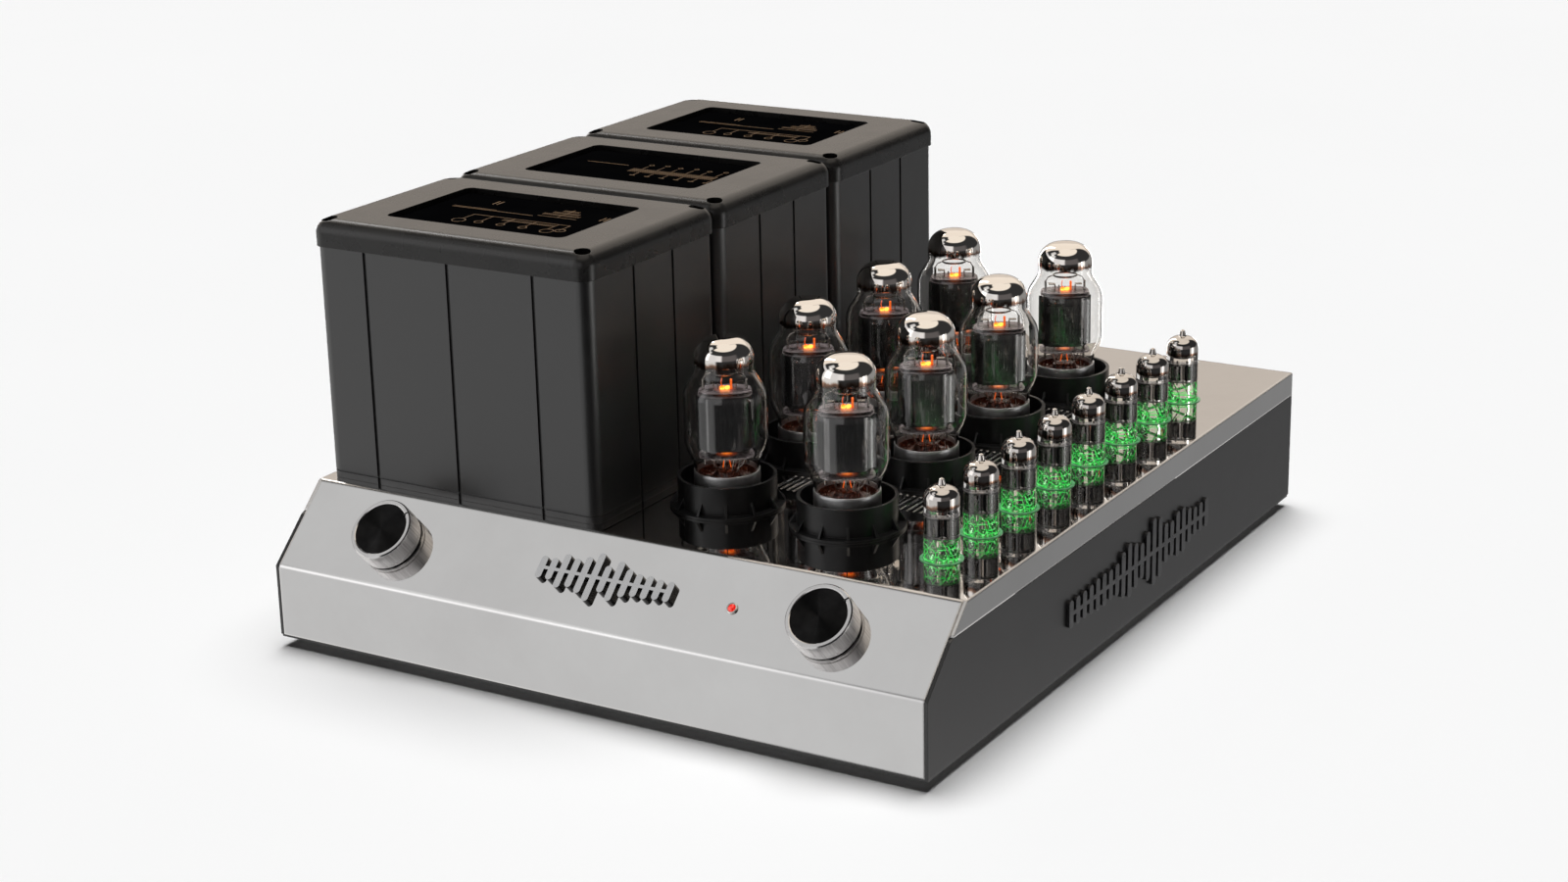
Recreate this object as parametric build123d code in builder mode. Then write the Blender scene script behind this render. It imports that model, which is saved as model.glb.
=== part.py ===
from build123d import *
import os
from math import atan2, cos, exp, hypot, pi, sin, tan

# Stereo tube power amplifier. Millimetres, +X to the right, front towards -Y, +Z up.
# z = 0 is the surface under the feet, and x = y = 0 is the middle of the whole object seen from above.

os.makedirs("parts", exist_ok=True)

# ---------------------------------------------------------------- case
WIDTH = 444.5
DEPTH = 520.7
CASE_HEIGHT = 87.7
BEND_HEIGHT = 45.7
SLOPE_SETBACK = 44.7
FOOT_HEIGHT = 6.0
FOOT_RADIUS = 17.0
FOOT_INSET = 42.0
STEEL = 2.0
PANEL = 2.0
BASE_SHEET = 1.6
SEAM = 0.3
FLANGE = 15.6
LIP = 14.0
BEND_RADIUS = 3.5

# ---------------------------------------------------------------- front controls, placed on the slope
KNOB_RADIUS = 19.8
KNOB_REACH = 15.0
KNOB_GAP = 1.0
KNOB_X = 149.3
INSERT_RADIUS = 16.6
INSERT_THICKNESS = 1.2
SHAFT_RADIUS = 3.0
SHAFT_DEPTH = 17.0
BUSHING_RADIUS = 4.8
SWITCH_SIZE = 28.0
SWITCH_DEPTH = 20.0
LED_X = 88.4
LED_RADIUS = 2.4
BEZEL_RADIUS = 3.4

# ---------------------------------------------------------------- transformers
TRANSFORMER_X = -119.7
TRANSFORMER_FROM_FRONT = 119.25
TRANSFORMER_PITCH = 139.85
COVER_WIDTH = 197.5
COVER_LENGTH = 134.5
COVER_WALL = 2.5
COVER_CORNER = 8.0
CAP_OVERLAP = 1.7
CAP_HEIGHT = 16.3
CAP_CORNER = 9.6
CAP_EDGE = 9.0
CAP_ROOF = 8.0
CAP_TOP_HEIGHT = 249.1
WINDOW_WIDTH = 129.0
WINDOW_LENGTH = 84.0
WINDOW_RECESS = 3.5
WINDOW_GLASS = 2.0
POST_INSET = 7.4
POST_RADIUS = 5.8
SCREW_WELL_RADIUS = 4.8
SCREW_WELL_DEPTH = 5.5

# ---------------------------------------------------------------- tubes, heights above the deck
POWER_X = (24.7, 105.9)
POWER_FROM_FRONT = 121.25
POWER_PITCH = 96.16
BASE_RADIUS = 19.7
BASE_BOTTOM = 3.0
BASE_TOP = 21.9
GLASS_WALL = 1.2
OCTAL_PIN_CIRCLE = 8.725
OCTAL_PIN_RADIUS = 1.15
OCTAL_KEY_RADIUS = 4.0
COLLAR_RADIUS = 29.4
COLLAR_WALL = 2.0
COLLAR_HEIGHT = 18.6
COLLAR_FLANGE = 34.1
COLLAR_RIBS = 12
SIGNAL_X = 179.8
SIGNAL_FROM_FRONT = 96.75
SIGNAL_PITCH = 47.84
SIGNAL_COUNT = 8
SIGNAL_RADIUS = 10.3
MINIATURE_PIN_CIRCLE = 5.945
MINIATURE_PIN_RADIUS = 0.5
PIN_CLEARANCE = 0.35

# ---------------------------------------------------------------- rear connectors
TERMINAL_REACH = 20.0
TERMINAL_X = (-62.0, -38.0, -14.0, 10.0, 58.0, 82.0, 106.0, 130.0)
TERMINAL_HEIGHT = 30.0
INPUT_X = (40.0, 160.0)
RCA_HEIGHT = 64.0
RCA_RADIUS = 4.15
XLR_X = (92.0, 196.0)

# ---------------------------------------------------------------- places worked out from the sizes
SLOPE = atan2(CASE_HEIGHT - BEND_HEIGHT, SLOPE_SETBACK)
SLOPE_LENGTH = hypot(CASE_HEIGHT - BEND_HEIGHT, SLOPE_SETBACK)
SLOPE_MIDDLE = SLOPE_LENGTH / 2
KNOB_OVERHANG = (KNOB_RADIUS - SLOPE_MIDDLE) * cos(SLOPE) + KNOB_REACH * sin(SLOPE)
FRONT = (KNOB_OVERHANG - DEPTH - TERMINAL_REACH) / 2
REAR = FRONT + DEPTH
CASE_BASE = FOOT_HEIGHT
PANEL_BASE = CASE_BASE + BASE_SHEET
BEND = CASE_BASE + BEND_HEIGHT
DECK = CASE_BASE + CASE_HEIGHT
DECK_FRONT = FRONT + SLOPE_SETBACK
PANEL_TOP = DECK - FLANGE - SEAM
HALF = WIDTH / 2
STEEL_HALF = HALF - PANEL - SEAM
CAP_TOP = CASE_BASE + CAP_TOP_HEIGHT
CAP_BASE = CAP_TOP - CAP_HEIGHT
COVER_TOP = CAP_TOP - CAP_ROOF
TRANSFORMER_Y = [FRONT + TRANSFORMER_FROM_FRONT + TRANSFORMER_PITCH * i for i in range(3)]
POWER_Y = [FRONT + POWER_FROM_FRONT + POWER_PITCH * i for i in range(4)]
POWER_SPOTS = [(x, y, DECK) for y in POWER_Y for x in POWER_X]
SIGNAL_Y = [FRONT + SIGNAL_FROM_FRONT + SIGNAL_PITCH * i for i in range(SIGNAL_COUNT)]
SIGNAL_SPOTS = [(SIGNAL_X, y, DECK) for y in SIGNAL_Y]
KNOB_SPOTS = [(-KNOB_X, SLOPE_MIDDLE), (KNOB_X, SLOPE_MIDDLE)]
FEET_SPOTS = [
    (x, y)
    for x in (-HALF + FOOT_INSET, HALF - FOOT_INSET)
    for y in (FRONT + FOOT_INSET, REAR - FOOT_INSET)
]

# The slope's plane: local x to the right, local y up the slope, normal pointing out of the case.
SLOPE_PLANE = Plane(origin=(0, FRONT, BEND), x_dir=(1, 0, 0), z_dir=(0, -sin(SLOPE), cos(SLOPE)))
SLOPE_NORMAL = Axis((0, FRONT, BEND), (0, -sin(SLOPE), cos(SLOPE)))
# The rear panel's outer face: local x to the object's left, local y up, normal pointing backwards.
REAR_PLANE = Plane(origin=(0, REAR, CASE_BASE), x_dir=(-1, 0, 0), z_dir=(0, 1, 0))
# A half section through an axis of turning: local x is the radius and local y is the height.
SECTION = Plane.XZ


def save(piece, name):
    """Writes one finished piece."""
    piece.part.label = name
    export_step(piece.part, f"parts/{name}.step")


def save_group(name, solids):
    """Writes several separate solids as one node."""
    export_step(Compound(label=name, children=solids), f"parts/{name}.step")


def copies(piece, spots):
    """One copy of a piece made at the origin for each spot."""
    return [piece.part.moved(Location(spot)) for spot in spots]


def front_path(inset):
    """The front, slope and deck line in the YZ plane, moved inwards by inset."""
    return [
        (FRONT + inset, PANEL_BASE),
        (FRONT + inset, BEND - inset * tan((pi / 2 - SLOPE) / 2)),
        (DECK_FRONT + inset * tan(SLOPE / 2), DECK - inset),
        (REAR, DECK - inset),
    ]


# ================================================================ steel case
VENT_COUNT = 23
VENT_LENGTH = 26.0
VENT_WIDTH = 2.0
VENT_STEP = 4.5
SOCKET_HOLE = 16.0
SIGNAL_HOLE = 11.6
LEAD_HOLE = 9.0

with BuildPart() as chassis_shell:
    with BuildSketch(Plane.YZ):
        with BuildLine():
            FilletPolyline(*front_path(0), radius=BEND_RADIUS)
            Polyline((REAR, DECK), (REAR, PANEL_BASE), (FRONT, PANEL_BASE))
        make_face()
    extrude(amount=STEEL_HALF, both=True)
    with BuildSketch(Plane.YZ):
        with BuildLine():
            FilletPolyline(*front_path(STEEL), radius=BEND_RADIUS - STEEL)
            Polyline((REAR, DECK - STEEL), (REAR, PANEL_BASE), (FRONT + STEEL, PANEL_BASE))
        make_face()
    extrude(amount=STEEL_HALF, both=True, mode=Mode.SUBTRACT)
    # lip turned in along the foot of the front
    with BuildSketch(Plane.XY.offset(PANEL_BASE)):
        with Locations((0, FRONT + LIP / 2)):
            Rectangle(2 * STEEL_HALF, LIP)
    extrude(amount=STEEL)
    # flanges turned down along both sides of the deck, their front ends cut along the slope
    for side in (-1, 1):
        with BuildSketch(Plane.YZ.offset(side * STEEL_HALF)):
            with BuildLine():
                Polyline(
                    (DECK_FRONT + 1, DECK),
                    (REAR, DECK),
                    (REAR, DECK - FLANGE),
                    (DECK_FRONT + 1 - FLANGE / tan(SLOPE), DECK - FLANGE),
                    close=True,
                )
            make_face()
        extrude(amount=side * (HALF - STEEL_HALF))
    long_edges = chassis_shell.edges().filter_by(Axis.Y).filter_by_position(Axis.Z, DECK - 0.1, DECK + 0.1)
    fillet([edge for edge in long_edges if abs(edge.center().X) > HALF - 0.1], radius=1.2)
    # tube, vent and transformer openings in the deck
    with BuildSketch(Plane.XY.offset(DECK)):
        with Locations(*[(x, y) for x, y, z in POWER_SPOTS]):
            Circle(SOCKET_HOLE)
        with Locations(*[(x, y) for x, y, z in SIGNAL_SPOTS]):
            Circle(SIGNAL_HOLE)
        with Locations(*[(TRANSFORMER_X, y) for y in TRANSFORMER_Y]):
            with GridLocations(120, 96, 2, 1):
                Circle(LEAD_HOLE)
            with GridLocations(COVER_WIDTH - 2 * POST_INSET, COVER_LENGTH - 2 * POST_INSET, 2, 2):
                Circle(2.3)
        with Locations(*[(sum(POWER_X) / 2 + 20, (a + b) / 2) for a, b in zip(POWER_Y, POWER_Y[1:])]):
            with GridLocations(VENT_STEP, 1, VENT_COUNT, 1):
                SlotOverall(VENT_LENGTH, VENT_WIDTH, rotation=90)
    extrude(amount=-STEEL, mode=Mode.SUBTRACT)
    # shaft and lamp holes in the slope
    with BuildSketch(SLOPE_PLANE):
        with Locations(*KNOB_SPOTS):
            Circle(BUSHING_RADIUS + 0.2)
        with Locations((LED_X, SLOPE_MIDDLE)):
            Circle(LED_RADIUS + 0.2)
    extrude(amount=-STEEL, mode=Mode.SUBTRACT)
    # fixing holes in the front lip
    with BuildSketch(Plane.XY.offset(PANEL_BASE)):
        with Locations((-150, FRONT + 8), (0, FRONT + 8), (150, FRONT + 8)):
            Circle(1.7)
    extrude(amount=STEEL, mode=Mode.SUBTRACT)
save(chassis_shell, "chassis_shell")

SIDE_SCREW_Y = [FRONT + 90 + 113.5 * i for i in range(4)]
slope_end = FRONT + (PANEL_TOP - BEND) / tan(SLOPE)
for name, side in (("side_panel_left", -1), ("side_panel_right", 1)):
    with BuildPart() as side_panel:
        with BuildSketch(Plane.YZ.offset(side * HALF)):
            with BuildLine():
                Polyline(
                    (FRONT, PANEL_BASE),
                    (FRONT, BEND),
                    (slope_end - 1.5, PANEL_TOP - 1.4),
                    (slope_end + 1.5, PANEL_TOP),
                    (REAR, PANEL_TOP),
                    (REAR, PANEL_BASE),
                    close=True,
                )
            make_face()
        extrude(amount=-side * PANEL)
        # lip turned in along the foot of the panel, clear of the front and rear lips
        with BuildSketch(Plane.XY.offset(PANEL_BASE)):
            with Locations((side * (HALF - LIP / 2), (FRONT + REAR) / 2)):
                Rectangle(LIP, DEPTH - 2 * LIP - 4)
        extrude(amount=PANEL)
        with BuildSketch(Plane.XY.offset(PANEL_BASE)):
            with Locations(*[(side * (HALF - 8), y) for y in SIDE_SCREW_Y]):
                Circle(1.7)
        extrude(amount=PANEL, mode=Mode.SUBTRACT)
    save(side_panel, name)

FLOOR_INSET = 0.6
FRONT_SCREWS = [(x, FRONT + 8) for x in (-150, 0, 150)]
REAR_SCREWS = [(x, REAR - 9) for x in (-170, -60, 60, 170)]
SIDE_SCREWS = [(side * (HALF - 8), y) for side in (-1, 1) for y in SIDE_SCREW_Y]
FLOOR_SCREWS = FRONT_SCREWS + REAR_SCREWS + SIDE_SCREWS
BOARD_LEGS = [(-192, -150), (-192, 150), (-30, -150), (-30, 150)]
with BuildPart() as bottom_plate:
    with BuildSketch(Plane.XY.offset(CASE_BASE)):
        with Locations((0, (FRONT + REAR) / 2)):
            Rectangle(WIDTH - 2 * FLOOR_INSET, DEPTH - 2 * FLOOR_INSET)
        with Locations(*FLOOR_SCREWS):
            Circle(1.7, mode=Mode.SUBTRACT)
        with Locations(*FEET_SPOTS):
            Circle(2.2, mode=Mode.SUBTRACT)
        with Locations(*[(sum(POWER_X) / 2, y) for y in POWER_Y]):
            with GridLocations(9, 1, 14, 1):
                SlotOverall(46, 4, rotation=90, mode=Mode.SUBTRACT)
    extrude(amount=BASE_SHEET)
save(bottom_plate, "bottom_plate")

with BuildPart() as foot:
    with BuildSketch(SECTION):
        with BuildLine():
            Polyline((2.2, FOOT_HEIGHT), (FOOT_RADIUS, FOOT_HEIGHT), (FOOT_RADIUS - 2.5, 0), (6, 0))
            Polyline((6, 0), (6, 3.5), (2.2, 3.5), (2.2, FOOT_HEIGHT))
        make_face()
    revolve(axis=Axis.Z)
save_group("feet", copies(foot, [(x, y, 0) for x, y in FEET_SPOTS]))

# ================================================================ transformers
COVER_GROOVE = 2.4
GROOVE_DEPTH = 1.2
FRONT_GROOVES = (-61.0, 0.0, 61.0)
SIDE_GROOVES = (-20.5, 20.5)
groove_height = CAP_BASE - DECK

for index, y in enumerate(TRANSFORMER_Y, start=1):
    middle = (TRANSFORMER_X, y)
    with BuildPart() as cover:
        with BuildSketch(Plane.XY.offset(DECK)):
            with Locations(middle):
                RectangleRounded(COVER_WIDTH, COVER_LENGTH, COVER_CORNER)
        extrude(amount=COVER_TOP - DECK)
        with BuildSketch(Plane.XY.offset(DECK)):
            with Locations(middle):
                RectangleRounded(
                    COVER_WIDTH - 2 * COVER_WALL, COVER_LENGTH - 2 * COVER_WALL, COVER_CORNER - COVER_WALL
                )
        extrude(amount=COVER_TOP - DECK, mode=Mode.SUBTRACT)
        # corner posts that the cap and the deck are screwed to
        with BuildSketch(Plane.XY.offset(DECK)):
            with Locations(middle):
                with GridLocations(COVER_WIDTH - 2 * POST_INSET, COVER_LENGTH - 2 * POST_INSET, 2, 2):
                    Circle(POST_RADIUS)
        extrude(amount=COVER_TOP - DECK)
        with BuildSketch(Plane.XY.offset(DECK)):
            with Locations(middle):
                with GridLocations(COVER_WIDTH - 2 * POST_INSET, COVER_LENGTH - 2 * POST_INSET, 2, 2):
                    Circle(2.3)
        extrude(amount=COVER_TOP - DECK, mode=Mode.SUBTRACT)
        # upright grooves in the four faces
        front_spots = [(x, side * COVER_LENGTH / 2) for x in FRONT_GROOVES for side in (-1, 1)]
        side_spots = [(side * COVER_WIDTH / 2, along) for along in SIDE_GROOVES for side in (-1, 1)]
        with BuildSketch(Plane.XY.offset(DECK)):
            with Locations(*[(TRANSFORMER_X + x, y + along) for x, along in front_spots]):
                Rectangle(COVER_GROOVE, 2 * GROOVE_DEPTH)
            with Locations(*[(TRANSFORMER_X + x, y + along) for x, along in side_spots]):
                Rectangle(2 * GROOVE_DEPTH, COVER_GROOVE)
        extrude(amount=groove_height, mode=Mode.SUBTRACT)
        # shadow line round the foot
        with BuildSketch(Plane.XY.offset(DECK + 4)):
            with Locations(middle):
                RectangleRounded(COVER_WIDTH + 4, COVER_LENGTH + 4, COVER_CORNER)
                RectangleRounded(
                    COVER_WIDTH - 1.6, COVER_LENGTH - 1.6, COVER_CORNER - 0.8, mode=Mode.SUBTRACT
                )
        extrude(amount=1.0, mode=Mode.SUBTRACT)
    save(cover, f"transformer_cover_{index}")

    with BuildPart() as cap:
        with BuildSketch(Plane.XY.offset(CAP_BASE)):
            with Locations(middle):
                RectangleRounded(COVER_WIDTH + 2 * CAP_OVERLAP, COVER_LENGTH + 2 * CAP_OVERLAP, CAP_CORNER)
        extrude(amount=CAP_HEIGHT)
        fillet(cap.faces().sort_by(Axis.Z)[-1].edges(), radius=CAP_EDGE)
        with BuildSketch(Plane.XY.offset(CAP_BASE)):
            with Locations(middle):
                RectangleRounded(COVER_WIDTH + 0.6, COVER_LENGTH + 0.6, COVER_CORNER + 0.3)
        extrude(amount=CAP_HEIGHT - CAP_ROOF, mode=Mode.SUBTRACT)
        # recess that holds the glass
        with BuildSketch(Plane.XY.offset(CAP_TOP)):
            with Locations(middle):
                RectangleRounded(WINDOW_WIDTH, WINDOW_LENGTH, 5)
        extrude(amount=-WINDOW_RECESS - WINDOW_GLASS, mode=Mode.SUBTRACT)
        # sunk screw holes in the corners
        with BuildSketch(Plane.XY.offset(CAP_TOP)):
            with Locations(middle):
                with GridLocations(COVER_WIDTH - 2 * POST_INSET, COVER_LENGTH - 2 * POST_INSET, 2, 2):
                    Circle(SCREW_WELL_RADIUS)
        extrude(amount=-SCREW_WELL_DEPTH, mode=Mode.SUBTRACT)
        with BuildSketch(Plane.XY.offset(CAP_TOP)):
            with Locations(middle):
                with GridLocations(COVER_WIDTH - 2 * POST_INSET, COVER_LENGTH - 2 * POST_INSET, 2, 2):
                    Circle(2.3)
        extrude(amount=-CAP_ROOF, mode=Mode.SUBTRACT)
    save(cap, f"transformer_cap_{index}")

with BuildPart() as window:
    with BuildSketch():
        RectangleRounded(WINDOW_WIDTH - 0.4, WINDOW_LENGTH - 0.4, 4.8)
    extrude(amount=WINDOW_GLASS)
glass_floor = CAP_TOP - WINDOW_RECESS - WINDOW_GLASS
save_group("cap_windows", copies(window, [(TRANSFORMER_X, y, glass_floor) for y in TRANSFORMER_Y]))

# Shell-type core: a stack of laminations with a winding round the middle limb.
CORE_WIDTH = 150.0
CORE_HEIGHT = 125.0
CORE_STACK = 62.0
LIMB = 50.0
CORE_OPENING = 25.0
OPENING_HEIGHT = 75.0
BOLT_RADIUS = 3.0
core_spots = [(TRANSFORMER_X, y, DECK) for y in TRANSFORMER_Y]
with BuildPart() as core:
    with BuildSketch(Plane.XZ):
        with Locations((0, CORE_HEIGHT / 2)):
            Rectangle(CORE_WIDTH, CORE_HEIGHT)
            with GridLocations(LIMB + CORE_OPENING, 1, 2, 1):
                Rectangle(CORE_OPENING, OPENING_HEIGHT, mode=Mode.SUBTRACT)
            with GridLocations(CORE_WIDTH - 14, CORE_HEIGHT - 14, 2, 2):
                Circle(BOLT_RADIUS, mode=Mode.SUBTRACT)
    extrude(amount=CORE_STACK / 2, both=True)
save_group("transformer_cores", copies(core, core_spots))

WINDING_WALL = 22.0
with BuildPart() as winding:
    with BuildSketch(Plane.XY.offset((CORE_HEIGHT - OPENING_HEIGHT) / 2 + 1)):
        RectangleRounded(LIMB + 2 * WINDING_WALL + 1, CORE_STACK + 2 * WINDING_WALL + 1, 12)
        Rectangle(LIMB + 1, CORE_STACK + 1, mode=Mode.SUBTRACT)
    extrude(amount=OPENING_HEIGHT - 2)
save_group("transformer_windings", copies(winding, core_spots))

# ================================================================ power tubes
# Collar: a low cup with a flange on the deck and twelve small ribs.
with BuildPart() as collar:
    with BuildSketch(SECTION):
        with BuildLine():
            Polyline(
                (SOCKET_HOLE + 0.5, 0),
                (COLLAR_FLANGE, 0),
                (COLLAR_FLANGE, 1.6),
                (COLLAR_RADIUS, 2.0),
                (COLLAR_RADIUS, COLLAR_HEIGHT),
                (COLLAR_RADIUS - COLLAR_WALL, COLLAR_HEIGHT),
                (COLLAR_RADIUS - COLLAR_WALL, 1.6),
                (SOCKET_HOLE + 0.5, 1.6),
                close=True,
            )
        make_face()
    revolve(axis=Axis.Z)
    for turn in range(COLLAR_RIBS):
        angle = 360 / COLLAR_RIBS * turn
        with BuildSketch(Plane.XZ.rotated((0, 0, angle))):
            with BuildLine():
                Polyline(
                    (COLLAR_RADIUS - 0.5, 1.5),
                    (COLLAR_FLANGE - 0.7, 1.5),
                    (COLLAR_FLANGE - 0.7, 2.2),
                    (COLLAR_RADIUS - 0.5, 9.5),
                    close=True,
                )
            make_face()
        extrude(amount=0.8, both=True)
save_group("tube_collars", copies(collar, POWER_SPOTS))

SOCKET_RADIUS = 15.5
SOCKET_TOP = 2.5
SOCKET_DEPTH = 15.0
with BuildPart() as power_socket:
    with BuildSketch(Plane.XY.offset(-SOCKET_DEPTH)):
        Circle(SOCKET_RADIUS)
    extrude(amount=SOCKET_DEPTH + SOCKET_TOP)
    # saddle that holds the socket under the deck
    with BuildSketch(Plane.XY.offset(-STEEL)):
        Circle(20.0)
        with Locations((21.0, 0), (-21.0, 0)):
            Circle(5.0)
    extrude(amount=-2.0)
    with BuildSketch(Plane.XY.offset(SOCKET_TOP)):
        Circle(OCTAL_KEY_RADIUS + PIN_CLEARANCE)
        with PolarLocations(OCTAL_PIN_CIRCLE, 8, start_angle=22.5):
            Circle(OCTAL_PIN_RADIUS + PIN_CLEARANCE)
    extrude(amount=-SOCKET_DEPTH - SOCKET_TOP, mode=Mode.SUBTRACT)
save_group("power_sockets", copies(power_socket, POWER_SPOTS))


def bulb_path(inset):
    """Half outline of the power tube's bulb, moved inwards by inset, from the neck to the crown."""
    return [
        (18.9 - inset, 7.4),
        (18.9 - inset, 25.0),
        (24.85 - inset, 37.0),
        (24.85 - inset, 69.5),
        (17.6 - inset, 81.0),
        (17.6 - inset, 101.8 - inset),
        (0, 102.4 - inset),
    ]


with BuildPart() as power_glass:
    with BuildSketch(SECTION):
        with BuildLine():
            FilletPolyline(*bulb_path(0), radius=(20, 20, 16, 10, 9.5))
            Polyline((0, 102.4), (0, 7.4), (18.9, 7.4))
        make_face()
    revolve(axis=Axis.Z)
    with BuildSketch(SECTION):
        with BuildLine():
            FilletPolyline(*bulb_path(GLASS_WALL), radius=(20, 20, 16, 10, 9.5 - GLASS_WALL))
            Polyline((0, 102.4 - GLASS_WALL), (0, 7.4), (18.9 - GLASS_WALL, 7.4))
        make_face()
    revolve(axis=Axis.Z, mode=Mode.SUBTRACT)

# Base: a metal ring round a moulded floor with eight pins and a key.
PIN_LENGTH = 11.0
KEY_LENGTH = 14.0
with BuildPart() as power_base:
    with BuildSketch(SECTION):
        with BuildLine():
            Polyline(
                (0, BASE_BOTTOM),
                (BASE_RADIUS - 1, BASE_BOTTOM),
                (BASE_RADIUS, BASE_BOTTOM + 1),
                (BASE_RADIUS, BASE_TOP - 0.4),
                (BASE_RADIUS - 0.3, BASE_TOP),
                (BASE_RADIUS - 0.7, BASE_TOP),
                (BASE_RADIUS - 0.7, 7.2),
                (0, 7.2),
                close=True,
            )
        make_face()
    revolve(axis=Axis.Z)
    with BuildSketch(Plane.XY.offset(BASE_BOTTOM)):
        with PolarLocations(OCTAL_PIN_CIRCLE, 8, start_angle=22.5):
            Circle(OCTAL_PIN_RADIUS)
    extrude(amount=-PIN_LENGTH)
    with BuildSketch(Plane.XY.offset(BASE_BOTTOM)):
        Circle(OCTAL_KEY_RADIUS)
    extrude(amount=-KEY_LENGTH)

# Electrodes: glass stem, support rods, two mica spacers and the ribbed plate between them.
with BuildPart() as power_electrodes:
    with BuildSketch(Plane.XY.offset(7.2)):
        Circle(9.0)
    extrude(amount=15.0)
    with BuildSketch(Plane.XY.offset(20.0)):
        with Locations((-13.5, 0), (13.5, 0), (-7.0, 0), (7.0, 0)):
            Circle(0.8)
    extrude(amount=54.0)
    with BuildSketch(Plane.XY.offset(33.0)):
        SlotOverall(31.0, 17.0)
        with Locations((-15.5, 0), (15.5, 0)):
            Rectangle(3.0, 1.2)
    extrude(amount=33.0)
    for height in (30.5, 69.5):
        with BuildSketch(Plane.XY.offset(height)):
            Circle(17.0)
        extrude(amount=0.8)
    # getter frame on the upper mica
    with BuildSketch(Plane.XY.offset(73.5)):
        Circle(8.0)
        Circle(6.6, mode=Mode.SUBTRACT)
        with Locations((-7.2, 0), (7.2, 0)):
            Circle(1.0)
    extrude(amount=1.2)

for index, spot in enumerate(POWER_SPOTS, start=1):
    with BuildPart() as placed_glass:
        with Locations(spot):
            add(power_glass.part)
    save(placed_glass, f"power_tube_{index}_glass")
    save_group(
        f"power_tube_{index}_base",
        copies(power_base, [spot]) + copies(power_electrodes, [spot]),
    )

# ================================================================ signal tubes
SIGNAL_FOOT = -3.0
SIGNAL_SOCKET_TOP = -3.5
SIGNAL_SOCKET_DEPTH = 12.0
BOARD = 1.6
BOARD_TOP = SIGNAL_SOCKET_TOP - SIGNAL_SOCKET_DEPTH
pin_turns = [2 * pi / 10 * i for i in range(9)]
nine_pin_spots = [(MINIATURE_PIN_CIRCLE * cos(turn), MINIATURE_PIN_CIRCLE * sin(turn)) for turn in pin_turns]
with BuildPart() as signal_glass:
    with BuildSketch(SECTION):
        with BuildLine():
            FilletPolyline(
                (SIGNAL_RADIUS, SIGNAL_FOOT), (SIGNAL_RADIUS, 41.6), (2.4, 43.0), (1.5, 46.6), (0, 47.4),
                radius=(7.5, 1.2, 0.7),
            )
            Polyline((0, 47.4), (0, SIGNAL_FOOT), (SIGNAL_RADIUS, SIGNAL_FOOT))
        make_face()
    revolve(axis=Axis.Z)
    with BuildSketch(SECTION):
        with BuildLine():
            FilletPolyline(
                (SIGNAL_RADIUS - 0.9, SIGNAL_FOOT), (SIGNAL_RADIUS - 0.9, 40.7), (0, 42.0),
                radius=6.6,
            )
            Polyline((0, 42.0), (0, SIGNAL_FOOT), (SIGNAL_RADIUS - 0.9, SIGNAL_FOOT))
        make_face()
    revolve(axis=Axis.Z, mode=Mode.SUBTRACT)

with BuildPart() as signal_electrodes:
    with BuildSketch(Plane.XY.offset(SIGNAL_FOOT)):
        Circle(SIGNAL_RADIUS - 1.0)
    extrude(amount=2.5)
    with BuildSketch(Plane.XY.offset(SIGNAL_FOOT)):
        with Locations(*nine_pin_spots):
            Circle(MINIATURE_PIN_RADIUS)
    extrude(amount=-7.0)
    with BuildSketch(Plane.XY.offset(-1.0)):
        with GridLocations(8.0, 5.0, 2, 2):
            Circle(0.45)
    extrude(amount=28.5)
    with BuildSketch(Plane.XY.offset(7.0)):
        with GridLocations(7.6, 1, 2, 1):
            RectangleRounded(6.4, 8.0, 2.0)
    extrude(amount=17.0)
    for height in (5.0, 25.5):
        with BuildSketch(Plane.XY.offset(height)):
            Circle(8.6)
        extrude(amount=0.6)

for index, spot in enumerate(SIGNAL_SPOTS, start=1):
    save_group(
        f"signal_tube_{index}",
        copies(signal_glass, [spot]) + copies(signal_electrodes, [spot]),
    )

with BuildPart() as signal_socket:
    with BuildSketch(Plane.XY.offset(BOARD_TOP)):
        Circle(10.4)
    extrude(amount=SIGNAL_SOCKET_DEPTH)
    with BuildSketch(Plane.XY.offset(BOARD_TOP)):
        with Locations(*nine_pin_spots):
            Circle(MINIATURE_PIN_RADIUS + PIN_CLEARANCE)
    extrude(amount=SIGNAL_SOCKET_DEPTH, mode=Mode.SUBTRACT)
save_group("signal_sockets", copies(signal_socket, SIGNAL_SPOTS))

# Clear ring round each signal tube, lit from below.
with BuildPart() as light_ring:
    with BuildSketch(SECTION):
        with BuildLine():
            Polyline(
                (SIGNAL_RADIUS + 0.5, -5.0),
                (SIGNAL_HOLE - 0.2, -5.0),
                (SIGNAL_HOLE - 0.2, 0),
                (SIGNAL_HOLE + 0.9, 0),
                (SIGNAL_HOLE + 0.8, 0.4),
                (SIGNAL_RADIUS + 0.5, 0.4),
                close=True,
            )
        make_face()
    revolve(axis=Axis.Z)
save_group("light_rings", copies(light_ring, SIGNAL_SPOTS))

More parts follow.
